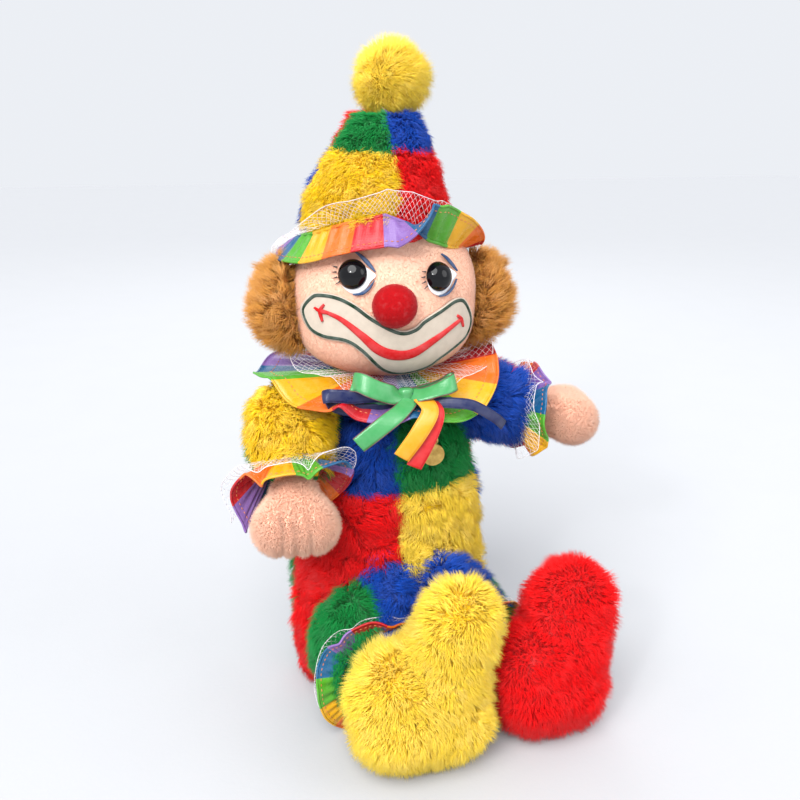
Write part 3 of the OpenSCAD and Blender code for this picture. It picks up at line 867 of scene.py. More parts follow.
FEET = (  # side, tint, inset, the lobe's place and height, shear of the top
    ("right", "pale_yellow", "yellow", 1.0, (-20, -78, 60), 6.0, 0.13),
    ("left", "red", "red", 3.0, (76, -66, 74), 6.0, 0.0),
)
ANKLE_Z, TOE_LENGTH, TOE_LIFT = 45, 35, 9
SOLE_Z = 40  # the fur below it stands for the CAD foot; the toe's is a piece of its own
for side, tint, backing, inset, lobe_at, lobe, shear in FEET:
    foot = "foot_" + side
    skin = from_cad(foot + "_skin", foot, 3.0, inset, [BACKING[backing]])
    v, _, n = arrays(skin)
    swell = lobe * bell(np.linalg.norm(v - np.array(lobe_at), axis=1), 20)
    v = v + n * (ripple(v, 34, 6) * 1.2 + swell)[:, None]
    v[:, 0] += np.maximum(v[:, 2] - ANKLE_Z, 0) * shear
    ahead = np.clip(v[:, 1].min() + TOE_LENGTH - v[:, 1], 0, TOE_LENGTH) / TOE_LENGTH
    v[:, 1] += 8 * ahead
    v[:, 2] += TOE_LIFT * ahead * np.clip(1 - v[:, 2] / ANKLE_Z, 0, 1)
    set_points(skin, v)
    puff(skin, lambda v: v[:, 2] < 8, 3.0)
    attach(skin, foot, backing + "_fur")
    fur(skin, [patch(foot + "_sole_fur", lambda p: p[:, 2] < SOLE_Z, tint, foot),
               patch(foot + "_toe_fur", lambda p: p[:, 2] >= SOLE_Z, tint)],
        foot, length=9.5, width=0.4, density=2.2, lean=0.4, clump_mm=5, seed=41 + (side == "left"), wild=0.9,
        gather=0.25)

# ---- head -----------------------------------------------------------------------

HEAD = np.array([4.0, 6.0, 252.0])
HEAD_HALF = np.array([53.0, 46.0, 49.0])
JOWL = 3.8  # the lower half is fuller than an ellipsoid, whose power is 2


def on_head(x, z, out=0.0):
    """Point on the face at offsets x, z from its centre, out mm off the skin."""
    x, z = np.asarray(x, float), np.asarray(z, float)
    high = np.abs(z) / HEAD_HALF[2]
    power = np.where(z < 0, JOWL, 2.0)
    k = np.maximum(1 - (x / HEAD_HALF[0]) ** 2 - high ** power, 0.01)
    y = -HEAD_HALF[1] * np.sqrt(k)
    steep = np.sign(z) * power / 2 * high ** (power - 1) / HEAD_HALF[2]
    n = unit(np.stack([x / HEAD_HALF[0] ** 2, y / HEAD_HALF[1] ** 2, steep], -1))
    return HEAD + np.stack([x, y, z], -1) + n * out, n


head_skin = ball("head_skin", (0, 0, 0), HEAD_HALF, [BACKING["peach"]], rows=60, cols=90)
v, _, _ = arrays(head_skin)
low = np.clip(-v[:, 2] / HEAD_HALF[2], 0, 0.999)
fuller = np.sqrt((1 - low ** JOWL) / (1 - low ** 2))
v[:, :2] *= fuller[:, None]
set_points(head_skin, v + HEAD)
attach(head_skin, "head", "peach_plush", "face_panel", "head_back_panel", "head_stuffing")


def curve_through(points, per=14, closed=False):
    """Catmull-Rom points through given 2D or 3D points."""
    p = np.array(points, float)
    n = len(p)
    out = []
    for i in range(n if closed else n - 1):
        a, b, c, d = (p[(i + k) % n] if closed else p[min(max(i + k, 0), n - 1)] for k in (-1, 0, 1, 2))
        for t in np.arange(per) / per:
            square, cube = 2 * a - 5 * b + 4 * c - d, 3 * b - a - 3 * c + d
            out.append(0.5 * (2 * b + (c - a) * t + square * t * t + cube * t ** 3))
    if not closed:
        out.append(p[-1])
    return np.array(out)


def even(points, step, closed=False):
    """Points resampled about step apart."""
    p = np.vstack([points, points[:1]]) if closed else points
    d = np.concatenate([[0], np.cumsum(np.linalg.norm(np.diff(p, axis=0), axis=1))])
    n = max(2, int(round(d[-1] / step)))
    s = np.linspace(0, d[-1], n + 1)[:-1] if closed else np.linspace(0, d[-1], n + 1)
    return np.stack([np.interp(s, d, p[:, k]) for k in range(p.shape[1])], -1)


def inside(outline, q):
    """Which 2D points lie in a closed outline."""
    hit = np.zeros(len(q), bool)
    a, b = outline, np.roll(outline, -1, 0)
    for (x0, y0), (x1, y1) in zip(a, b):
        if y0 == y1:
            continue
        level = (y0 > q[:, 1]) != (y1 > q[:, 1])
        hit ^= level & (q[:, 0] < (x1 - x0) * (q[:, 1] - y0) / (y1 - y0) + x0)
    return hit


def felt(name, outline, lift, thick, mat, *nodes, step=1.6):
    """A felt shape laid on the face inside a closed outline, with its thickness."""
    edge = even(outline, step, True)
    lo, hi = edge.min(0), edge.max(0)
    gx, gz = np.meshgrid(np.arange(lo[0], hi[0], step), np.arange(lo[1], hi[1], step))
    inner = np.stack([gx.ravel(), gz.ravel()], -1)
    inner = inner[inside(edge, inner)]
    near = np.min(np.linalg.norm(inner[:, None] - edge[None], axis=2), axis=1)
    inner = inner[near > step * 0.6]
    pts = np.vstack([edge, inner])
    loop = [(i, (i + 1) % len(edge)) for i in range(len(edge))]
    v2, _, f2, *_ = geometry.delaunay_2d_cdt([Vector(p) for p in pts], loop, [], 1, 1e-4)
    v2 = np.array([list(v) for v in v2])
    tris = np.array([f for f in f2 if len(f) == 3])
    count = len(v2)
    top, _ = on_head(v2[:, 0], v2[:, 1], lift + thick)
    low, _ = on_head(v2[:, 0], v2[:, 1], lift)
    lookup = {tuple(np.round(v, 4)): i for i, v in enumerate(v2)}
    order = [lookup.get(tuple(np.round(e, 4))) for e in edge]
    order = [o for o in order if o is not None]
    ring = [(a, b, b + count, a + count) for a, b in zip(order, order[1:] + order[:1])]
    ob = build(name, np.vstack([top, low]), [np.vstack([tris, tris[:, ::-1] + count]), np.array(ring)], [mat])
    bm = bmesh.new()
    bm.from_mesh(ob.data)
    bmesh.ops.recalc_face_normals(bm, faces=bm.faces)
    bm.to_mesh(ob.data)
    bm.free()
    return attach(ob, "head", "cream_felt", *nodes)


MOUTH_EDGE = [
    (-49, -6), (-44, 3), (-38, 5), (-30, 4), (-22, 0), (-13, -7), (0, -14), (8, -13), (13, -9), (23, -4),
    (32, 0), (39, -2), (45, -14), (42, -24), (32, -30), (25, -34), (18, -39), (4, -42), (-8, -38),
    (-20, -26), (-28, -21), (-39, -20), (-46, -16)]
mouth_outline = curve_through(MOUTH_EDGE, 6, True)
felt_beige = cloth("beige_felt", FELT_BEIGE, 5, 0.1, 0.45, 0.8, 0.9, sheen=0.3)
felt("mouth_felt_sheet", mouth_outline, 0.9, 1.2, felt_beige, "mouth_felt")


def stroke(name, line, out, widths, high, mat, slot, *nodes):
    """A raised embroidered stroke along points on the face; widths at even places along it."""
    p2 = even(line, 0.7)
    t = np.linspace(0, 1, len(p2))
    w = np.interp(t, np.linspace(0, 1, len(widths)), widths) / 2
    at, n = on_head(p2[:, 0], p2[:, 1], out)
    fwd = unit(np.gradient(at, axis=0))
    side = np.cross(n, fwd)
    a = np.arange(12) * TAU / 12
    rib = 1 + 0.10 * np.cos(np.arange(len(p2)) * math.pi)
    across = side[:, None] * (np.cos(a)[None, :, None] * w[:, None, None])
    above = n[:, None] * (np.sin(a)[None, :, None] * high) * rib[:, None, None]
    v, f = capped(at[:, None] + across + above)
    attach(build(name, v, f, [mat]), "head", slot, *nodes)


along_edge = np.roll(mouth_outline, -1, 0) - np.roll(mouth_outline, 1, 0)
inward = unit(np.stack([along_edge[:, 1], -along_edge[:, 0]], -1))
inner_line = mouth_outline + inward * 1.4
thread_green = woven("green_thread", STITCH_GREEN, 0.3, 0.8, specular=0.1)
stroke("mouth_chain_stitch", np.vstack([inner_line, inner_line[:1]]), 1.9, [2.1, 2.1], 0.7, thread_green,
       "cream_felt")
thread_red = woven("red_thread", SMILE_RED, 0.3, 0.7, 0.6, 0.08, specular=0.2)
SMILE = [(-39, -4.4), (-30, -8), (-20, -16), (-11, -24), (-2, -27.5), (7.5, -27), (19, -21), (30, -15),
         (36, -12)]
stroke("smile_stroke", curve_through(SMILE), 2.3, [1.8, 3.0, 4.2, 5.8, 6.8, 6.2, 4.6, 3.2, 2.2], 0.8,
       thread_red, "red_felt", "smile_felt")
for name, line, out, widths in (
    ("end_right", [(-37.5, -1), (-39.5, -5), (-38.5, -10.5)], 2.3, [1.4, 2.8, 1.6]),
    ("end_left", [(33, -9.5), (35.8, -12), (37.3, -16.5)], 2.3, [1.6, 2.6, 1.4]),
    ("barb_right", [(-42, -3.5), (-39.5, -5), (-35.5, -5.5)], 2.4, [1.2, 2.4, 1.6]),
):
    stroke("smile_" + name, curve_through(line), out, widths, 0.9, thread_red, "red_felt")

# Nose: a flocked ball drawn in at its back.
nose_at, nose_out = on_head(-3.0, 0.0, 4.2)
nose_red = cloth("nose_flock", NOSE_RED, 3, 0.08, 0.35, 0.5, 0.9, sheen=0.3, specular=0.15)
nose_skin = ball("nose_ball", (0, 0, 0), (12, 11.6, 12), [nose_red], 0.006, 3, 40, 56)
v, _, _ = arrays(nose_skin)
v[:, 2] = np.maximum(v[:, 2], -3.6) * np.where(v[:, 2] > 0, 0.86, 1.0)
nose_side = unit(np.cross([0, 0, 1.0], nose_out))
nose_frame = np.stack([nose_side, np.cross(nose_out, nose_side), nose_out])
set_points(nose_skin, v @ nose_frame + nose_at)
attach(nose_skin, "head", "red_flock", "nose")
pile("nose_fibres", nose_skin, shades("nose", NOSE_RED, 0.9, 0.05), "head", "red_flock",
     lambda p: (p - nose_at) @ nose_out > -1, 5.0, 0.6, 0.2, 0.5, 9)

# Eyes: glossy domes on white felt points, with blue embroidered arcs and lashes.
eye_black = material("eye_gloss", (0.003, 0.003, 0.004), 0.05, specular=0.3)
nt, p = nodes_of(eye_black)
nt.links.new(value_range(nt, noise(nt, coords(nt), 2.0), 0.03, 0.09), p.inputs["Roughness"])
white_felt = cloth("white_felt", linear(240, 240, 242), 4, 0.06, 0.4, 0.7, 0.9)
thread_blue = woven("blue_thread", linear(8, 58, 104), 0.3, 0.6)
thread_black = woven("black_thread", (0.01, 0.01, 0.012), 0.3, 0.6)


DOME = [(0.0, 7.9), (0.7, 8.2), (1.4, 7.9), (3.0, 7.2), (4.5, 5.9), (5.6, 4.1), (6.2, 2.0)]  # height, radius
DOME_TOP = 6.4
EYE_WHITE = [(11.8, -0.4), (8.9, 2.2), (5, 4.6), (0, 5.6), (-5, 4.2), (-6.4, 0), (-5.6, -5.6), (-2, -9.2),
             (2, -9.8), (6.4, -7), (8.8, -3.4)]
ARCS = (
    ("upper", [(2.5, 10.6), (5.2, 8.6), (8, 5.6), (10, 3.2), (11.6, 1.2)], [0.9, 2.0, 2.4, 2.0, 0.7]),
    ("lower", [(10.8, -2.8), (8.2, -6.6), (4.6, -9.4), (0, -10.2)], [0.6, 1.5, 1.7, 0.8]),
)
LASHES = (158, 176, 194, 212)  # degrees


def eye(name, cx, cz):
    """A glossy dome; the white shows at its side and below, between blue stitched arcs."""
    at, n = on_head(cx, cz, 1.0)
    right = unit(np.cross(n, [0, 0, 1.0]) * -1)
    up = np.cross(n, right) * -1
    a = np.arange(40) * TAU / 40
    high, radius = (column[:, None, None] for column in np.array(DOME).T)
    circle = right * np.cos(a)[:, None] + up * np.sin(a)[:, None]
    v, f = capped(at + n * high + circle[None] * radius)
    v[-1] = at + n * DOME_TOP
    dome = build(name + "_dome", v, f, [eye_black])
    sub = dome.modifiers.new("sub", "SUBSURF")
    sub.levels = sub.render_levels = 1
    bake_modifiers(dome)
    attach(dome, "head", "eye_plastic", name)
    middle = np.array([cx, cz])
    shape = curve_through(EYE_WHITE, 6, True) + middle  # in face offsets x and z
    felt(name + "_white", shape, 0.7, 0.7, white_felt, step=1.3)
    for tag, line, widths in ARCS:
        stroke(f"{name}_{tag}_arc", curve_through(line) + middle, 1.9, widths, 0.7, thread_blue, "cream_felt")
    for k, ang in enumerate(LASHES):
        t = math.radians(ang)
        d = np.array([math.cos(t), math.sin(t)])
        lash = np.array([d * 7.8, d * 10.0 + [-0.2, -0.4]]) + middle
        stroke(f"{name}_lash_{k}", lash, 1.5, [0.9, 0.3], 0.35, thread_black, "cream_felt")
    return shape


eye_shapes = [eye("eye_right", -23.5, 15.5), eye("eye_left", 22.0, 13.0)]


HAT_EDGE_Z = 291
NECK_HOLE, NECK_HOLE_R = np.array([8, 10, 196]), 22


def face_clear(p):
    """True where plush pile grows: not under felt, eyes or hat, nor at the neck."""
    q = p - HEAD
    flat = q[:, [0, 2]]
    bare = np.zeros(len(p), bool)
    for shape in [mouth_outline] + eye_shapes:
        bare |= inside(shape, flat)
    bare &= q[:, 1] < 0
    return ~bare & (p[:, 2] < HAT_EDGE_Z) & (np.linalg.norm(p - NECK_HOLE, axis=1) > NECK_HOLE_R)


for k, (name, ahead) in enumerate((("face", lambda p: p[:, 1] < 2), ("head_back", lambda p: p[:, 1] >= 2))):
    pile(name + "_plush", head_skin, TINTS["peach"], "head", "peach_plush",
         lambda p, ahead=ahead: face_clear(p) & ahead(p), 3.4, 1.0, 0.34, 0.35, 51 + k)

for side, name in ((-1, "hair_right"), (1, "hair_left")):
    skin = from_cad(name + "_skin", name, 2.5, 3.0, [BACKING["ginger"]])
    attach(skin, "head", "ginger_fur")
    fur(skin, [patch(name + "_fur", everywhere, "ginger", name)], "head", length=11, width=0.3, lean=0.6,
        clump_mm=3.4, density=3.4, seed=61 + side, gather=0.5, wild=0.8, comb=combed(0.5 * side, -0.2, 0.35))

# ---- hands ----------------------------------------------------------------------

FURROWS = (-8.5, 0, 8.5)  # stitched lines between the fingers
FURROW_DEPTH, FURROW_START = 2.8, 62
CUFF_Z = 52  # the hand is held below this, and its plush starts a little lower
for name, m, tuck in (("hand_right", arm_right, 0.0), ("hand_left", arm_left, 5.0)):
    skin = from_cad(name + "_skin", name, 2.2, 1.6, [BACKING["peach"]], 8)
    puff(skin, lambda v, m=m: local(v, m)[:, 2] < CUFF_Z, 2.5)
    v, _, n = arrays(skin)
    q = local(v, m)
    crease = np.zeros(len(v))
    for x in FURROWS:
        crease += bell(q[:, 0] - x * (0.8 + (q[:, 2] - 70) * 0.008), 1.5)
    crease *= np.clip((q[:, 2] - FURROW_START) / 6, 0, 1)
    set_points(skin, v - n * (crease * FURROW_DEPTH)[:, None] - tuck * np.array(m)[:3, 2])
    attach(skin, name, "peach_plush", name)
    pile(name + "_plush", skin, TINTS["peach"], name, "peach_plush",
         lambda p, m=m: local(p, m)[:, 2] > CUFF_Z - 6, 5.2, 3.8, 0.34, 0.5, 71, along(m))

# ---- ruffles --------------------------------------------------------------------

satin_mats = [woven(f"satin_{i}", c, 0.4, 0.26, 0.25, 0.05, specular=0.35) for i, c in enumerate(SATINS)]
tulle_mat = material("tulle_thread", TULLE_WHITE, 0.35, 0.4, specular=0.6)
hem_thread = woven("hem_thread", linear(214, 120, 60), 0.25, 0.5)
STRIPE = 16.5
RAINBOW = (5, 4, 3, 2, 1, 0)
CLOTH_CLEAR = 1.2  # mm that a ruffle's middle stays above the ground


def ring_surface(m, gather, width, tilt, waves, amp, seed, cols, rows, lift=None):
    """Points of a gathered strip round an axis; width, tilt (degrees up) and lift change with the angle."""
    rng = np.random.default_rng(seed)
    a = np.arange(cols) * TAU / cols
    rx, ry = gather
    s = np.linspace(0, 1, rows)[:, None]
    phase = waves * a + 0.8 * np.sin(2 * a + rng.uniform(0, TAU)) + 0.5 * np.sin(3 * a + rng.uniform(0, TAU))
    size = amp * (1 + 0.35 * np.sin(3 * a + rng.uniform(0, TAU)))
    fold = np.sin(phase) + 0.25 * np.sin(2.3 * phase + 1)
    shift = np.cos(phase)
    pleats = np.sin(38 * a + 2 * np.sin(5 * a)) * 0.9
    t = np.radians(tilt(a))
    out = np.stack([np.cos(a), np.sin(a), 0 * a], -1)
    tangent = np.stack([-np.sin(a), np.cos(a), 0 * a], -1)
    up = np.array([0, 0, 1.0])
    rise = lift(a) if lift else np.zeros(cols)
    gathered = np.stack([(rx - 0.2 * rise) * np.cos(a), (ry - 0.2 * rise) * np.sin(a), rise], -1)
    strip = (out * np.cos(t)[:, None] + up * np.sin(t)[:, None]) * width(a)[:, None]
    face = -out * np.sin(t)[:, None] + up * np.cos(t)[:, None]
    e = s ** 1.2
    pts = gathered[None] + strip[None] * s[:, :, None] + face[None] * (e * size * fold)[:, :, None]
    pts = pts + tangent[None] * (e * size * 0.9 * shift)[:, :, None]
    pts = pts + face[None] * (pleats[None] * (1 - s) ** 0.8 * np.minimum(1, s * 8))[:, :, None]
    pts = placed(pts.reshape(-1, 3), m)
    pts[:, 2] = np.maximum(pts[:, 2], CLOTH_CLEAR)
    return pts.reshape(rows, cols, 3)


def thick_sheet(name, pts, mats, index, thick, body, slot, wrap=True):
    """Cloth of the given thickness through a grid of points."""
    ob = build(name, pts.reshape(-1, 3), [grid_faces(*pts.shape[:2], wrap)], mats, index)
    mod = ob.modifiers.new("thick", "SOLIDIFY")
    mod.thickness = thick * MM
    mod.offset = 0
    return attach(bake_modifiers(ob), body, slot)


def tube(points, radius, sides=6, closed=True):
    """Verts and quads of a thin tube along points."""
    nxt = np.roll(points, -1, 0) if closed else np.vstack([points[1:], 2 * points[-1] - points[-2]])
    fwd = unit(nxt - points)
    u = unit(np.cross(fwd, [0.3, 0.2, 1.0]))
    w = np.cross(fwd, u)
    a = np.arange(sides) * TAU / sides
    circle = u[:, None] * np.cos(a)[None, :, None] + w[:, None] * np.sin(a)[None, :, None]
    v = (points[:, None] + circle * radius).reshape(-1, 3)
    f = grid_faces(len(points), sides)
    if closed:
        c = np.arange(sides)
        last = (len(points) - 1) * sides
        f = np.vstack([f, np.stack([last + c, last + (c + 1) % sides, (c + 1) % sides, c], -1)])
    return v, f


def dashes(name, row, normal_row, lift, mat, body, slot, length=2.0, gap=1.3, thick=0.28):
    """Running stitches along a row of points, on both faces."""
    p = even(row, 0.5, True)
    long = int(length / 0.5)
    starts = np.arange(0, len(p) - long, int((length + gap) / 0.5))
    a, b = p[starts], p[starts + long]
    fwd = unit(b - a)
    n = normal_row[nearest(row, a)]
    side = np.cross(n, fwd)
    around = ((1, 0), (0, 1), (-1, 0), (0, -1))
    shape = [(0, 0, 0)] + [(x, y, z) for x in (0.3, 0.7) for y, z in around] + [(1, 0, 0)]
    tri = [(0, 2, 1), (0, 3, 2), (0, 4, 3), (0, 1, 4), (9, 5, 6), (9, 6, 7), (9, 7, 8), (9, 8, 5)]
    quad = [(1, 2, 6, 5), (2, 3, 7, 6), (3, 4, 8, 7), (4, 1, 5, 8)]
    verts = []
    for sign in (-1, 1):
        base = [a + (b - a) * x + side * y * thick + n * (z * thick + sign * lift) for x, y, z in shape]
        verts.append(np.stack(base, 1).reshape(-1, 3))
    v = np.concatenate(verts)
    k = np.arange(len(v) // 10)[:, None, None] * 10
    faces = [(k + np.array(quad)).reshape(-1, 4), (k + np.array(tri)).reshape(-1, 3)]
    attach(build(name, v, faces, [mat]), body, slot)


def satin_ring(name, m, gather, width, tilt, waves, amp, seed, body, node, first=0, lift=None):
    """A rainbow satin ruffle with its rolled hem and running stitches."""
    cols, rows_ = 480, 14
    pts = ring_surface(m, gather, width, tilt, waves, amp, seed, cols, rows_, lift)
    row = pts[int(rows_ * 0.6)]
    d = np.linalg.norm(np.diff(np.vstack([row, row[:1]]), axis=0), axis=1)
    total = d.sum()
    stripes = max(6, int(round(total / STRIPE)))
    stripe = ((np.cumsum(d) - d / 2) / total * stripes).astype(int)
    colour = np.array(RAINBOW)[(stripe + first) % 6]
    ob = thick_sheet(name, pts, satin_mats, np.tile(colour, rows_ - 1), 0.5, body, "rainbow_satin")
    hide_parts(node)

    def edging(tag, line, radius):
        v, f = tube(line, radius)
        return attach(build(name + tag, v, [f], satin_mats, np.repeat(colour, 6)), body, "rainbow_satin")

    hem = edging("_hem", pts[-1], 0.75)
    across = unit(np.roll(pts[-3], -1, 0) - np.roll(pts[-3], 1, 0))
    outw = unit(pts[-1] - pts[-4])
    dashes(name + "_stitches", pts[-3], unit(np.cross(across, outw)), 0.35, hem_thread, body, "rainbow_satin")
    edging("_gather", pts[0], 1.1)


def net_ring(name, m, gather, width, tilt, waves, amp, seed, body, *nodes, cell=1.8, thread=0.17, lift=None):
    """A net ruffle of real threads on a diagonal lattice, with a doubled outer edge."""
    wide = float(np.mean(width(np.arange(8.0))))
    mean = (gather[0] + gather[1]) / 2 + wide * 0.7
    cols = int(TAU * mean * 1.3 / cell / 2) * 2
    rows_ = max(5, int(wide / cell) + 1)
    pts = ring_surface(m, gather, width, tilt, waves, amp, seed, cols, rows_, lift)
    flat = pts.reshape(-1, 3)
    r = np.arange(rows_ - 1)[:, None]
    c = np.arange(cols)[None]
    one = np.stack([r * cols + c, (r + 1) * cols + (c + 1) % cols], -1).reshape(-1, 2)
    two = np.stack([r * cols + (c + 1) % cols, (r + 1) * cols + c], -1).reshape(-1, 2)
    rim = np.stack([(rows_ - 1) * cols + c, (rows_ - 1) * cols + (c + 1) % cols], -1).reshape(-1, 2)
    even_ones = one[(one[:, 0] // cols + one[:, 0] % cols) % 2 == 0]
    odd_twos = two[((two[:, 1] // cols - 1) + (two[:, 1] % cols)) % 2 == 1]
    e = np.concatenate([even_ones, odd_twos, rim])
    a, b = flat[e[:, 0]], flat[e[:, 1]]
    fwd = unit(b - a)
    u = unit(np.cross(fwd, [0.21, 0.33, 0.9]))
    w = np.cross(fwd, u)
    size = np.full(len(e), thread / 2)
    size[-len(rim):] = thread * 1.3
    verts = np.zeros((len(e), 6, 3))
    for k in range(3):
        t = k * TAU / 3
        ring = (u * math.cos(t) + w * math.sin(t)) * size[:, None]
        verts[:, k] = a - fwd * 0.05 + ring
        verts[:, 3 + k] = b + fwd * 0.05 + ring
    first = np.arange(len(e))[:, None] * 6
    ends = np.concatenate([first + np.array([[2, 1, 0]]), first + np.array([[3, 4, 5]])])
    attach(build(name, verts.reshape(-1, 3), [prism_sides(first), ends], [tulle_mat]), body, "tulle", *nodes)


satin_ring("neck_satin", moved(*NECK_AT), (22, 21), neck_width, neck_tilt, 8, 3.6, 5, "torso", "neck_ruffle",
           4)
neck_net_tilt = bend((-180, 4), (-90, 20), (-60, 8), (-25, -6), (0, -12), (30, -12), (60, 4), (75, 18),
                     (90, 32))
neck_net_width = bend((-180, 26), (-90, 42), (-45, 32), (0, 22), (30, 24), (60, 34), (90, 44))
net_ring("neck_net", moved(8, 8, 205), (23, 22), neck_net_width, neck_net_tilt, 7, 2.8, 6, "torso",
         "neck_tulle")

BRIM = moved(2, 9, 285)
brim_lift = bend((-180, 0), (-90, -2), (-60, 2), (-30, 9), (-5, 13), (12, 8), (26, -1), (45, -6), (80, -10),
                 (110, -6))
brim_tilt = bend((-180, -28), (-90, -46), (-60, -52), (-30, -56), (0, -50), (10, -6), (20, 50), (40, 62),
                 (60, 48), (80, 14), (100, -12))
brim_width = bend((-180, 16), (-90, 18), (-30, 18), (10, 17), (30, 23), (50, 20), (80, 11), (110, 14))
satin_ring("brim_satin", BRIM, (46, 43), brim_width, brim_tilt, 5, 1.3, 7, "head", "hat_ruffle",
           3, brim_lift)
brim_net_tilt = bend((-180, 0), (-110, -30), (-90, -34), (-60, 0), (-30, 50), (0, 66), (30, 76), (60, 66),
                     (90, 10))
brim_net_width = bend((-180, 15), (-90, 19), (-60, 16), (-30, 13), (0, 13), (30, 21), (60, 17), (90, 9))
net_ring("brim_net", BRIM @ moved(0, 0, 2), (46, 43), brim_net_width, brim_net_tilt, 7, 1.2, 8, "head",
         "hat_tulle", lift=brim_lift)


def edge_ruffles(place, m, body, gather, waves, amps, net_gather, net_waves, seed, first, tilt, width, back):
    """A limb's satin ruffle with its net behind it, tilted back degrees less."""
    kind, side = place.split("_")
    satin_ring(place + "_satin", m, gather, width, tilt, waves, amps[0], seed, body, f"{kind}_ruffle_{side}",
               first)
    net_ring(place + "_net", m @ moved(0, 0, -2), net_gather, width, lambda a: tilt(a) - back, net_waves,
             amps[1], seed + 2, body)


edge_ruffles(
    "cuff_right", arm_right @ moved(0, 0, 37), "arm_right", (17, 17), 6, (3.2, 3.0), (17.5, 17.5), 6, 15, 0,
    bend((-180, 70), (-150, 60), (-120, 34), (-90, 48), (-60, 62), (-30, 50), (0, 40), (60, 36), (90, 32),
         (120, 22), (150, 40)),
    bend((-180, 17), (-150, 20), (-120, 17), (-90, 25), (-60, 34), (-30, 24), (0, 17), (90, 17), (120, 22),
         (150, 20)), 16)
edge_ruffles(
    "cuff_left", arm_left @ moved(0, 0, 32), "arm_left", (17, 17), 6, (3.2, 3.0), (17.5, 17.5), 6, 16, 3,
    bend((-180, 30), (-120, 25), (-60, 45), (-30, 55), (0, 40), (60, 30), (90, 25), (120, 25)),
    bend((-180, 13), (-120, 18), (-60, 22), (-30, 16), (0, 11), (60, 11), (90, 12), (120, 12)), 16)
for side, m, seed in (("right", leg_right, 18), ("left", leg_left, 19)):
    edge_ruffles(
        "ankle_" + side, m @ moved(0, 0, 30), "leg_" + side, (24, 24), 6, (1.8, 2.0), (24, 24), 7, seed, 2,
        bend((-180, 40), (-120, -16), (-90, -4), (-60, 0), (0, 10), (90, 20), (150, 38)),
        bend((-180, 15), (-90, 15), (-60, 16), (0, 14), (150, 14)), 14)

# ---- bow ------------------------------------------------------------------------


def ribbon(name, steps, width, mat, edge_mat, facing, slot, *nodes):
    """A flat ribbon along steps from the knot; facing gives the face's direction at each, or at all."""
    line = curve_through([KNOT + np.array(step, float) for step in steps], 10)
    out = curve_through(facing, 10) if len(np.shape(facing)) == 2 else np.tile(facing, (len(line), 1))
    fwd = unit(np.gradient(line, axis=0))
    side = unit(np.cross(fwd, out))
    k = np.linspace(-1, 1, 7)
    n = unit(np.cross(side, fwd))
    crown = (1 - k ** 2) * 0.35
    pts = line[:, None] + side[:, None] * (k[None, :, None] * width / 2) + n[:, None] * crown[None, :, None]
    ob = thick_sheet(name, pts, [mat], None, 0.4, "torso", slot, False)
    for col, tag in ((0, "a"), (-1, "b")):
        v, f = tube(pts[:, col], 0.32, 5, False)
        attach(build(f"{name}_edge_{tag}", v, [f], [edge_mat]), "torso", slot)
    if nodes:
        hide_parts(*nodes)


bow_satin = woven("green_ribbon", BOW_GREEN, 0.35, 0.2, 0.2, 0.05, specular=0.6)
bow_edge = woven("ribbon_edge", linear(92, 40, 36), 0.3, 0.55)
navy_satin, gold_satin, red_satin = (
    woven(name + "_ribbon_cloth", colour, 0.35, 0.3, 0.25, 0.05)
    for name, colour in (("navy", NAVY), ("gold", RIBBON_GOLD), ("red", RIBBON_RED)))
KNOT = np.array([7.4, -40.0, 200.5])
AHEAD = (0, -1, 0.4)
ABOVE = (0, -0.6, 0.9)
BEHIND = (0, 1, 0.5)
OVER = [ABOVE, ABOVE, AHEAD, (0, -1, 0)]


ribbon("bow_loop_right", [(-1, 0, 0), (-9, -6, 3), (-19, -8, 7.5), (-26, -5, 10.5), (-29, 1, 8.5),
                          (-27, 3, 1), (-16, -1, -4.5), (-3, 0, -3)], 10.5, bow_satin, bow_edge,
       [ABOVE, AHEAD, AHEAD, (-0.6, -0.8, 0.4), (-1, 0.3, 0.1), (-0.4, 0.6, 0.9), BEHIND, BEHIND],
       "green_satin", "green_bow")
ribbon("bow_loop_left", [(1, 0, 0), (8, -5, 1.5), (17, -6, 4), (26, -4, 6.5), (28, 2, 6.5), (18, 3, 3),
                         (2, 1, 0)], 9, bow_satin, bow_edge,
       [AHEAD, ABOVE, ABOVE, (0.5, -0.8, 0.5), (1, 0, 0.2), BEHIND, BEHIND], "green_satin")
ribbon("bow_tail_green", [(2, -4, -1), (-5, -12, -5), (-16, -17, -11), (-29, -17, -21)], 9.5, bow_satin,
       bow_edge, OVER, "green_satin")
ribbon("bow_loop_navy", [(0, 1, -1), (-12, -1, 1), (-30, -3, 2), (-43, -2, 3), (-45, 1, 0), (-33, 0, -6),
                         (-14, -1, -7), (0, 1, -3)], 7, navy_satin, navy_satin,
       [(0, -1, .2)] * 3 + [(-1, 0, 0)] * 2 + [(0, 1, 0)] * 3, "navy_satin", "navy_ribbon")
ribbon("bow_tail_navy", [(3, -3, -1), (14, -5, -3), (26, -8, -3.5), (37, -9, -5.5), (51, -6, -15),
                         (57, -2, -21)], 5.5, navy_satin, navy_satin, AHEAD, "navy_satin")
ribbon("bow_tail_gold", [(8, -5, 0), (11, -14, -5), (4, -18, -16), (-5.5, -17, -30)], 9, gold_satin,
       gold_satin, OVER, "gold_satin", "gold_ribbon")
ribbon("bow_tail_red", [(11, -3.5, -2), (15, -12, -7), (10, -16, -20), (2, -15, -37)], 8.5, red_satin,
       red_satin, OVER, "red_satin", "red_ribbon")
knot_profile = [(-5.5, 3.2), (-4.2, 4.2), (-1.5, 3.8), (1.5, 3.9), (4.2, 4.3), (5.5, 3.2)]
lv = smooth_levels([(z, 0, 0, r, r * 0.85) for z, r in knot_profile], 24, 2)
v, f = capped(loft(lv, 32))
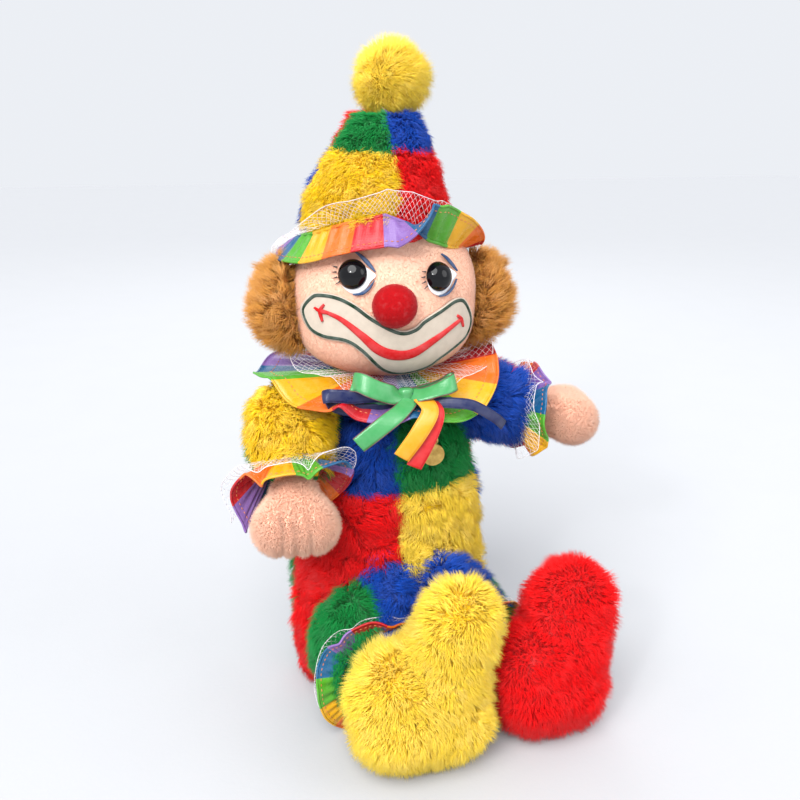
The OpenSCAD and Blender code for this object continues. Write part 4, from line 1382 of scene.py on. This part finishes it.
fold = 1 + 0.05 * np.sin(6 * np.arctan2(v[:, 1], v[:, 0]) + v[:, 2] * 0.4)
v[:, :2] *= fold[:, None]
knot = build("bow_knot", v + KNOT + np.array([0, -1, -1]), f, [bow_satin])
attach(knot, "torso", "green_satin")

# ---- medallion and inner pieces ----------------------------------------------------

brass = material("brass_disc", linear(206, 172, 96), 0.35, metal=0.9)
nt, p = nodes_of(brass)
brush = noise(nt, coords(nt, (1, 1, 6)), 0.6, 3)
nt.links.new(value_range(nt, brush, 0.26, 0.5), p.inputs["Roughness"])
worn = ramp(nt, noise(nt, coords(nt), 4.0), [(0.3, linear(170, 134, 70)), (0.7, linear(216, 184, 108))])
nt.links.new(worn, p.inputs["Base Color"])
bump(nt, p, brush, 0.2, 0.05)
lining = woven("lining_cotton", LINING_WHITE, 0.5, 0.85, 0.5, 0.08)
CAVITY = [(8.5, 3, 18, 43, 15.5), (62, 4, 16, 48, 21), (80, 4.4, 7, 49, 32), (125, 7, 8, 49.5, 34),
          (160, 9, 9.5, 36, 25), (176, 9.7, 10, 17, 16)]  # the CAD's: z, centre x and y, half width and depth
SLACK = 4.5  # how far the bag hangs inside the cavity
bag_rows = smooth_levels(CAVITY, 70, 1)
v, faces = capped(loft(bag_rows, 150), top=False)
middle = np.stack([np.interp(v[:, 2], bag_rows[:, 0], bag_rows[:, k]) for k in (1, 2)] + [v[:, 2]], -1)
near_back = v[:, 1] > 15  # where the wrist opening is
loose = np.where(near_back, SLACK * np.clip((opening_distance(v) - 1) / 9, 0, 1), SLACK)
v = v - unit(v - middle + 1e-6) * (loose * (1 + 0.25 * ripple(v, 26, 9)))[:, None]
mouth_of_bag = (opening_distance(v) < 1) & near_back
bag = build("lining_bag", v, [f[~mouth_of_bag[f].any(1)] for f in faces], [lining])
sides = bag.modifiers.new("thick", "SOLIDIFY")
sides.thickness = 0.8 * MM
bake_modifiers(bag)
attach(bag, "torso", "lining_cotton", "hand_lining")
collar_mat = cloth("neck_plush", PEACH, 6, 0.12, sheen=0.5)
card = cloth("card_tube", linear(196, 168, 122), 4, 0.15, 0.6, 0.4, 0.9)
binding = woven("binding_tape", BLUE, 0.45, 0.7, 0.5)
for node, m in (("medallion", brass), ("neck_collar", collar_mat), ("neck_tube", card),
                ("shoulder_ball_right", lining), ("shoulder_ball_left", lining), ("wrist_binding", binding)):
    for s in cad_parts[node].material_slots:
        s.material = m

# ---- room, light, camera ---------------------------------------------------------------

FLOOR_HALF = 4000  # mm
along_floor = np.linspace(-FLOOR_HALF, FLOOR_HALF, 9)
floor_pts = np.stack(np.meshgrid(along_floor, along_floor), -1).reshape(-1, 2)
floor_grey = cloth("floor_matte", (0.466, 0.473, 0.488), 60, 0.01, 3, 0.05, 0.9)
floor = build("floor", np.hstack([floor_pts, np.zeros((81, 1))]), [grid_faces(9, 9, False)], [floor_grey])

scene = bpy.context.scene
scene.view_settings.view_transform = "Standard"
world = bpy.data.worlds.new("studio")
world.use_nodes = True
sky = world.node_tree.nodes["Background"].inputs
sky["Color"].default_value = (0.84, 0.865, 0.91, 1)
sky["Strength"].default_value = 1.0
scene.world = world


def lamp(name, at, size, power, target=(0, 0, 0.18)):
    """A round area light that faces the puppet's middle."""
    data = bpy.data.lights.new(name, "AREA")
    data.shape = "DISK"
    data.size = size
    data.energy = power
    ob = add_object(name, data)
    ob.location = at
    ob.rotation_euler = (Vector(target) - Vector(at)).to_track_quat("-Z", "Y").to_euler()


lamp("fill", (1.2, -0.7, 0.8), 0.9, 5)
lamp("rim", (0.2, 1.2, 1.1), 0.8, 4)
lamp("catchlight", (-0.75, -1.0, 0.95), 0.16, 5)
sun = bpy.data.lights.new("key", "SUN")
sun.energy = 3.8
sun.angle = math.radians(50)
key = add_object("key", sun)
key.rotation_euler = Vector((0.5, 0.85, -1.1)).to_track_quat("-Z", "Y").to_euler()

cam = bpy.data.cameras.new("camera")
cam.sensor_width = 36
cam.lens = 38.25
camera = add_object("camera", cam)
camera.location = (-0.0808, -0.4784, 0.350)
camera.rotation_euler = (math.radians(90 - 18.8), 0, math.radians(-11))
scene.camera = camera
